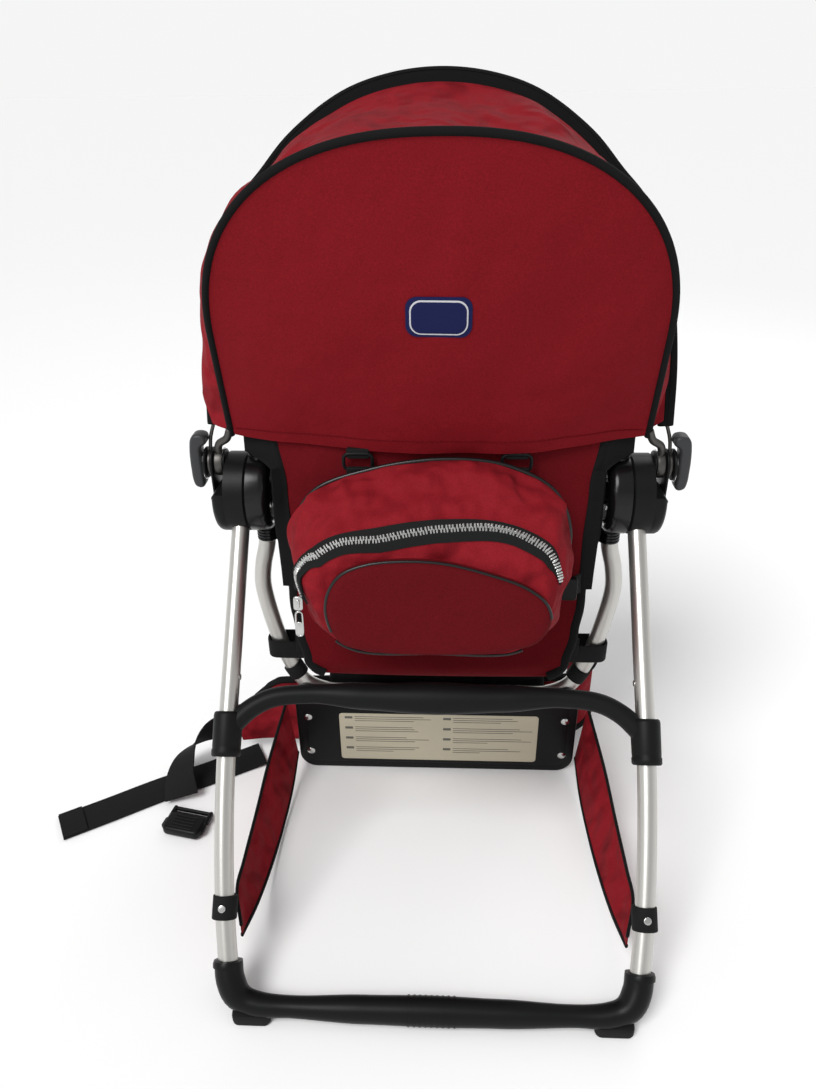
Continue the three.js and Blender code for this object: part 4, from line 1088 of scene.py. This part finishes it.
PANEL_HALF = [(120, 108), (200, 120), (420, 124), (566, 102)]
PANEL_Y, PANEL_THICK, PANEL_SEAMS, PANEL_MIDDLE = 51, 14, (205, 290, 375, 460), 36
LUMBAR_HALF, LUMBAR_Y, LUMBAR_THICK, LUMBAR_SEAM = 126, 13, 18, 62
# Each hip wing's line seen from above, from the lumbar plate to its tip.
WINGS = {
    "left": [(-125, 19), (-165, 21), (-205, 19), (-238, 14)],
    "right": [(125, 30), (160, 36), (188, 62), (194, 100), (180, 138)],
}
WING_BINDING_OUT = {"left": 3.5, "right": 2}
STRAP_ROUTE = [(62, 76, 548), (68, 112, 542), (80, 146, 500), (92, 154, 430), (100, 138, 340),
               (103, 108, 262), (104, 82, 205), (104, 75, 178)]
STRAP_WIDTH = [(0, 26), (0.2, 31), (0.6, 29), (0.75, 13), (1, 13)]
STRAP_THICK = [(0, 6), (0.6, 6), (0.75, 1.6), (1, 1.6)]
SEAM_REACH, PAD_EDGE = 5, 5
STERNUM_Z = 446


def pad_shape(half_at, z0, z1, back, thick):
    """A soft slab between two heights, rounded in at its rim."""
    outline = [(half_at(z), z) for z in np.linspace(z0, z1, 24)]
    outline += [(-x, z) for x, z in reversed(outline)]
    return slab(outline, back, back + thick, PAD_EDGE)


def near_line(value, line):
    """1 on a line of stitches, falling to 0 on both sides of it."""
    return max(0.0, 1 - abs(value - line) / SEAM_REACH)


def carrier_y(place):
    return place[1] - HINGE.y / MM


def back_panel():
    def held(p):
        seams = [near_line(p[2], line) for line in PANEL_SEAMS] + [near_line(abs(p[0]), PANEL_MIDDLE)]
        return max(1.0 if carrier_y(p) < PANEL_Y + 2 else 0.0, *seams)

    shape = pad_shape(lambda z: along(PANEL_HALF, z), 121, 565, PANEL_Y, PANEL_THICK)
    padded_piece("back_panel_pad", shape, "back_panel", held)
    piece("back_panel_mesh", block((120, 330, 30, 6), 64, 66.5, 1, at=(0, 340)), WEBBING)
    side = [(along(PANEL_HALF, z) + 1, 58, z) for z in np.linspace(128, 558, 40)]
    rim = side + [(x, 58, 566) for x in np.linspace(94, -94, 16)]
    rim += [(-x, y, z) for x, y, z in side[::-1]] + [(x, 58, 120) for x in np.linspace(-100, 100, 16)]
    piece("back_panel_piping", swept(spline(rim, 260, closed=True), oval(3, 3, 12), loop=True), PIPING)


def lumbar_pad():
    def held(p):
        return max(near_line(abs(p[0]), LUMBAR_SEAM), 1.0 if carrier_y(p) < LUMBAR_Y + 2 else 0.0)

    shape = pad_shape(lambda z: LUMBAR_HALF, 15, 118, LUMBAR_Y, LUMBAR_THICK)
    padded_piece("lumbar_pad_cloth", shape, "lumbar_pad", held)


def hip_wing(word, plan):
    path = spline([(x, y, 0) for x, y in plan], 80)

    def wing(u, v):
        at = path[int(round(u * 79))]
        low = along([(0, 16), (1, 20)], u)
        high = along([(0, 104), (0.5, 100), (1, 62)], u)
        return at[0], at[1] + 1.5 * ripple((u * 160, 0, v * 80), 40, 9), mix(low, high, v)

    obj = piece(f"hip_wing_{word}_cloth", grid(wing, 40, 24), BAG_RED, f"hip_wing_{word}", thick=9, inside=1,
                rides=False)
    refined(obj, 60)
    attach(obj, "main_frame")
    rim = [wing(u, 1) for u in np.linspace(0, 1, 30)]
    rim += [wing(1, v) for v in np.linspace(0.95, 0.05, 12)]
    rim += [wing(u, 0) for u in np.linspace(1, 0, 30)]
    rim = spline(np.array(rim) + (0, WING_BINDING_OUT[word], 0), 150)
    piece(f"hip_wing_{word}_binding", binding(rim, BACKWARDS, 11, 8), BLACK_CLOTH)


def shoulder_straps():
    unit = oval(1, 1, 28)
    soft = np.sign(unit) * np.abs(unit) ** 0.7
    strap = swept(spline(STRAP_ROUTE, 120), lambda t: soft * (along(STRAP_WIDTH, t), along(STRAP_THICK, t)),
                  SIDEWAYS)
    for obj in pair("shoulder_strap_{}_pad", strap, BLACK_CLOTH, "shoulder_strap_{}"):
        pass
    adjuster = shifted(block((36, 30, 4), -4, 4, 1.6), 103.5, 92, 228)
    pair("shoulder_adjuster_{}", adjuster, PLASTIC)
    pair("shoulder_anchor_{}", block((44, 30, 3), 66, 72, 1, at=(104, 178)), WEBBING)


def sternum_strap():
    route = spline(across_middle([(57, 150, STERNUM_Z), (34, 156, STERNUM_Z), (0, 158, STERNUM_Z)]), 60)
    strap = swept(route, webbing_section(20, 1.8), UPWARDS, swell=0)
    piece("sternum_webbing", strap, WEBBING, "sternum_strap")
    clip = block((46, 28, 6), 160.5, 166.8, 2, at=(0, STERNUM_Z))
    bars = [block((1.8, 18, 0.8), 166.5, 167.4, 0.4, at=(x, STERNUM_Z)) for x in (-18, -14, 14, 18)]
    piece("sternum_clip", joined(clip, *bars), PLASTIC, "sternum_buckle")


# ---- storage bag

BAG_DEPTH, BAG_BASE, BAG_TURNS = 68, -88, 720
BAG_RIM = loop_in_xz([(6, 84.5), (64, 79), (108, 56), (124, 22), (119, -28), (106, -67), (80, -86), (0, -88),
                      (-80, -86), (-108, -67), (-125, -28), (-133, 22), (-115, 54), (-60, 75)], BAG_TURNS)
# The bag's height and width against its outline, by depth out from the seat back.
BAG_HEIGHT = [(0, 0.98), (6, 1), (24, 0.97), (46, 0.86), (62, 0.74), (BAG_DEPTH, 0.6)]
BAG_WIDTH = [(0, 0.96), (6, 0.99), (24, 1.01), (44, 0.96), (60, 0.89), (66, 0.84), (BAG_DEPTH, 0.78)]
BAG_DEPTHS = [0, 2, 5, 8, 12, 18, 24, 30, 36, 41, 45, 48, 51, 54, 57, 60, 62, 64, 66, 67.4, BAG_DEPTH]
BAG_RING = 240
# The zip runs along the bag's upper front edge and back down its left side.
ZIP_LINE = [(-0.292, 54), (-0.27, 53.6), (-0.25, 55.4), (-0.22, 60), (-0.18, 63.2), (-0.14, 63),
            (-0.09, 63.8), (-0.03, 63.6), (0.03, 62.6), (0.1, 62), (0.15, 62.4), (0.19, 64), (0.23, 65)]
ZIP_START, ZIP_STOP, ZIP_TEETH, TEETH_LIFT = -0.29, 0.205, 104, 3.3
TAPE_COLUMNS, TAPE_ROWS = 199, 7
POCKET_RIM = [(102, -45), (98, -28), (80, -13), (45, 0), (8, 9), (-25, 11), (-62, 7), (-84, -3), (-95, -20),
              (-97, -40), (-86, -66), (-55, -75), (0, -77), (60, -73), (92, -63)]
POCKET_MIDDLE, POCKET_Y = (3, 0, -34), -70.3
# The pocket's skin from its sewn rim to its middle: the ring's size and how far it stands out.
POCKET_RINGS = [(1, -9), (1, 1), (0.995, 4), (0.98, 8), (0.95, 10.5), (0.9, 12), (0.8, 12.8), (0.6, 12.9),
                (0.4, 12.6), (0.2, 12.3), (0.04, 12)]


def bag_point(turn, depth, outward=0.0):
    """The bag's skin: turn from 0 to 1 round its outline, depth out from the seat back."""
    rim = BAG_RIM[int(round(turn * BAG_TURNS)) % BAG_TURNS]
    grow = 1 + outward / 110
    z = BAG_BASE + (rim[2] - BAG_BASE) * steady(BAG_HEIGHT, depth)
    z += 10 * (depth / BAG_DEPTH) ** 2 * min(1, max(0, -z / 70))
    return np.array((rim[0] * steady(BAG_WIDTH, depth) * grow, -2 - depth, z * grow))


def bag_fold(at):
    """How far the bag's cloth stands out or in at a place."""
    wave = 6.5 * ripple(at, 42, 1) + 2.4 * ripple((at[0] * 1.5, at[1] * 0.6, at[2]), 20, 7)
    slant = (at[0] + 0.5 * at[2], 0.5 * at[1] - 0.4 * at[0], 0.6 * at[2])
    wave += 3 - 12 * abs(ripple(slant, 48, 9))
    return wave + 3.2 * math.sin(at[0] / 6.5 + at[1] / 30) * math.exp(-((at[0] - 78) / 30) ** 2)


def bag_ring(depth):
    """One ring of the bag's skin; the folds fade towards its two seams."""
    strength = min(1, depth / 15) ** 2 * min(1, max(0.08, (58 - depth) / 22))
    ring = []
    for i in range(BAG_RING):
        at = bag_point(i / BAG_RING, depth)
        out = np.array((at[0], 0, at[2] + 10)) / (np.hypot(at[0], at[2] + 10) + 1e-9)
        ring.append(at + out * bag_fold(at) * strength)
    return np.array(ring)


def bag_body():
    rings = [bag_ring(depth) for depth in BAG_DEPTHS]
    last = rings[-1]
    middle = last.mean(0)
    for scale in (0.94, 0.8, 0.6, 0.4, 0.2, 0.05):
        ring = middle + (last - middle) * scale
        ring[:, 1] += [(0.8 * ripple(p, 30, 4) - 1.5) * (1 - scale) for p in ring]
        rings.append(ring)
    piece("bag_body_cloth", lofted(rings), BAG_RED, "storage_bag", place=BAG)
    for name, depth, turns, radius in (
        ("bag_back_piping", 4, (-0.26, 0.26), 2.3),
        ("bag_front_piping", 65, (0.36, 0.64), 1.6),
    ):
        path = np.array([bag_point(t, depth, 1.4) for t in np.linspace(*turns, 160)])
        piping(name, path[::4], 160, radius)


def piping(name, path, count, radius, sides=12):
    """A round cord sewn into a seam of the bag."""
    piece(name, swept(spline(path, count), oval(radius, radius, sides)), PIPING, place=BAG)


def zip_point(turn, across, lift):
    """A point on the zip: across it from -1, towards the seat back, to 1."""
    centre = steady(ZIP_LINE, turn) + 0.15 * math.sin(turn * 60)
    slope = mix(0.7, 0.30, min(1, max(0, (centre - 53) / 9)))
    return bag_point(turn, centre + across * 8.5 * slope, lift)


def zip_tape():
    def tape_point(u, v):
        turn = mix(ZIP_START, ZIP_STOP, u)
        narrowed = min(1, 0.12 + (ZIP_STOP - turn) / 0.05)
        return zip_point(turn, mix(-1.35, 1.1, v) * narrowed, 2.2)

    piece("zip_tape", grid(tape_point, TAPE_COLUMNS, TAPE_ROWS), ZIP_TAPE, "zip_chain", place=BAG, thick=1.6,
          inside=0)
    for name, start in (("zip_teeth_odd", 0.0), ("zip_teeth_even", 0.5)):
        piece(name, zip_teeth(start), STEEL, place=BAG)


def zip_teeth(start):
    """Metal teeth across the tape, every second one of the chain."""
    tooth, faces = block((1.7, 4.5, 0.5, 1), -0.9, 0.9, 0.35, 1)
    offset = 0.13 if start else -0.13
    shapes = []
    for i in range(ZIP_TEETH):
        turn = mix(ZIP_START + 0.006, ZIP_STOP - 0.004, (i + start) / ZIP_TEETH)
        ahead = zip_point(turn + 0.006, 0, TEETH_LIFT) - zip_point(turn - 0.006, 0, TEETH_LIFT)
        ahead /= np.linalg.norm(ahead)
        deeper = zip_point(turn, 0.4, TEETH_LIFT) - zip_point(turn, -0.4, TEETH_LIFT)
        deeper -= ahead * (deeper @ ahead)
        deeper /= np.linalg.norm(deeper)
        turned_to = np.stack([ahead, np.cross(ahead, deeper), deeper])
        shapes.append((tooth @ turned_to + zip_point(turn, offset, TEETH_LIFT), faces))
    return joined(*shapes)


def zip_slider():
    end = bag_point(-0.292, 55, 8)
    plates = (block((9, 13.6, 3), -2.5, 0.2, 1), block((7, 11, 2.5), 0.4, 2.4, 0.8),
              block((3, 8, 1.2), -4.4, -2, 0.6))
    piece("zip_slider_cast", shifted(joined(*plates), *end), STEEL, "zip_slider", place=BAG)
    ring = swept(loop_in_xz(rounded_box(6, 23.6, 2.6), 50), oval(0.9, 0.9, 10), loop=True)
    pull = joined(shifted(ring, y=1), block((5.6, 13, 2), 0.2, 1.8, 0.5, at=(0, -4.5)))
    pull = shifted(pull, *(end + (0, -1, -20.5)))
    piece("zip_pull_tab", pull, STEEL, "zip_pull", place=BAG, body="zip_tab")


def pocket():
    outline = loop_in_xz(POCKET_RIM, 200)

    def rim(size, lift):
        ring = POCKET_MIDDLE + (outline - POCKET_MIDDLE) * size
        folds = [(2.6 * ripple(p, 34, 11) + 1.2 * ripple(p, 15, 5)) * (1 - size ** 4) for p in ring]
        ring[:, 1] = POCKET_Y - lift + np.array(folds)
        return ring

    rings = [rim(size, lift) for size, lift in POCKET_RINGS]
    piece("bag_pocket_cloth", lofted(rings), SHADED_DEEP_RED, "bag_pocket", place=BAG)
    piping("bag_pocket_piping", rim(0.985, 7.5)[2:112], 160, 1.5)
    piping("bag_pocket_seam", rim(1.0, 0.5)[132:196], 90, 0.8, 10)


def bag_straps():
    ring = swept(loop_in_xz(rounded_box(26.5, 15.5, 5), 60), oval(1.6, 1.7, 12), loop=True)
    ring = shifted(ring, 73, -45, 414)
    pair("bag_ring_{}_wire", ring, PLASTIC, "bag_ring_{}")
    tab = block((21, 10, 2), -45.5, -38, 0.8, at=(73, 422))
    hook = block((22, 20, 2), -48.2, -43.4, 1.2, at=(73, 399))
    pair("bag_ring_{}_tab", joined(tab, hook), WEBBING)
    path = spline([(118, -79, 300), (123, -77, 300), (129, -74, 299), (138, -66, 298)], 24)
    strap = swept(path, webbing_section(20, 2), (0, 0.2, 1), swell=0)
    pair("bag_strap_{}_webbing", strap, WEBBING, "bag_strap_{}")
    lock = shifted(block((15, 24, 3), -3, 3, 1.2), 126, -78, 299)
    piece("bag_ladder_lock", lock, PLASTIC)


# ---- limit strips

STRIP_POINTS = 120
STRIP_UPPER = spline([(173, -12, 96), (185, -70, 62), (188.5, -130, 47), (189, -190, 45), (187, -228, 50),
                      (176, -262, 46)], STRIP_POINTS)
STRIP_LOWER = spline([(165, -12, 20), (165, -60, 9), (167.5, -120, 4.5), (170, -170, 8), (173, -220, 18),
                      (176.5, -262, 32)], STRIP_POINTS)


def limit_strips():
    def cloth(u, v):
        i = int(round(u * (STRIP_POINTS - 1)))
        at = mix(STRIP_UPPER[i], STRIP_LOWER[i], v)
        free = math.sin(math.pi * u) * math.sin(math.pi * v)
        return at + (free * (2.0 * ripple(at, 50, 12) + 1.0 * math.sin(u * 14)), 0, 0)

    strips = pair("limit_strip_{}_cloth", grid(cloth, 90, 20), BAG_RED, "limit_strip_{}", thick=1.5, inside=0,
                  rides=False)
    edges = joined(*(binding(line, SIDEWAYS, 3.2, 5.2, 12) for line in (STRIP_UPPER, STRIP_LOWER)))
    edges = pair("limit_strip_{}_piping", edges, BLACK_CLOTH, rides=False)
    for part in strips + edges:
        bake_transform(part)


# ---- scene

photo_camera()
studio()
hip_straps()
frame_tubes()
hubs()
canopy_mounts()
levers()
lumbar_plate()
handle()
foot_bar()
tube_clamps()
curtain()
badge()
rear_hoop()
front_hoop()
canopy_top()
seat_cloth()
seat_bottom()
harness()
tube_loops()
back_panel()
lumbar_pad()
for word, plan in WINGS.items():
    hip_wing(word, plan)
shoulder_straps()
sternum_strap()
bag_body()
zip_tape()
zip_slider()
pocket()
bag_straps()
limit_strips()
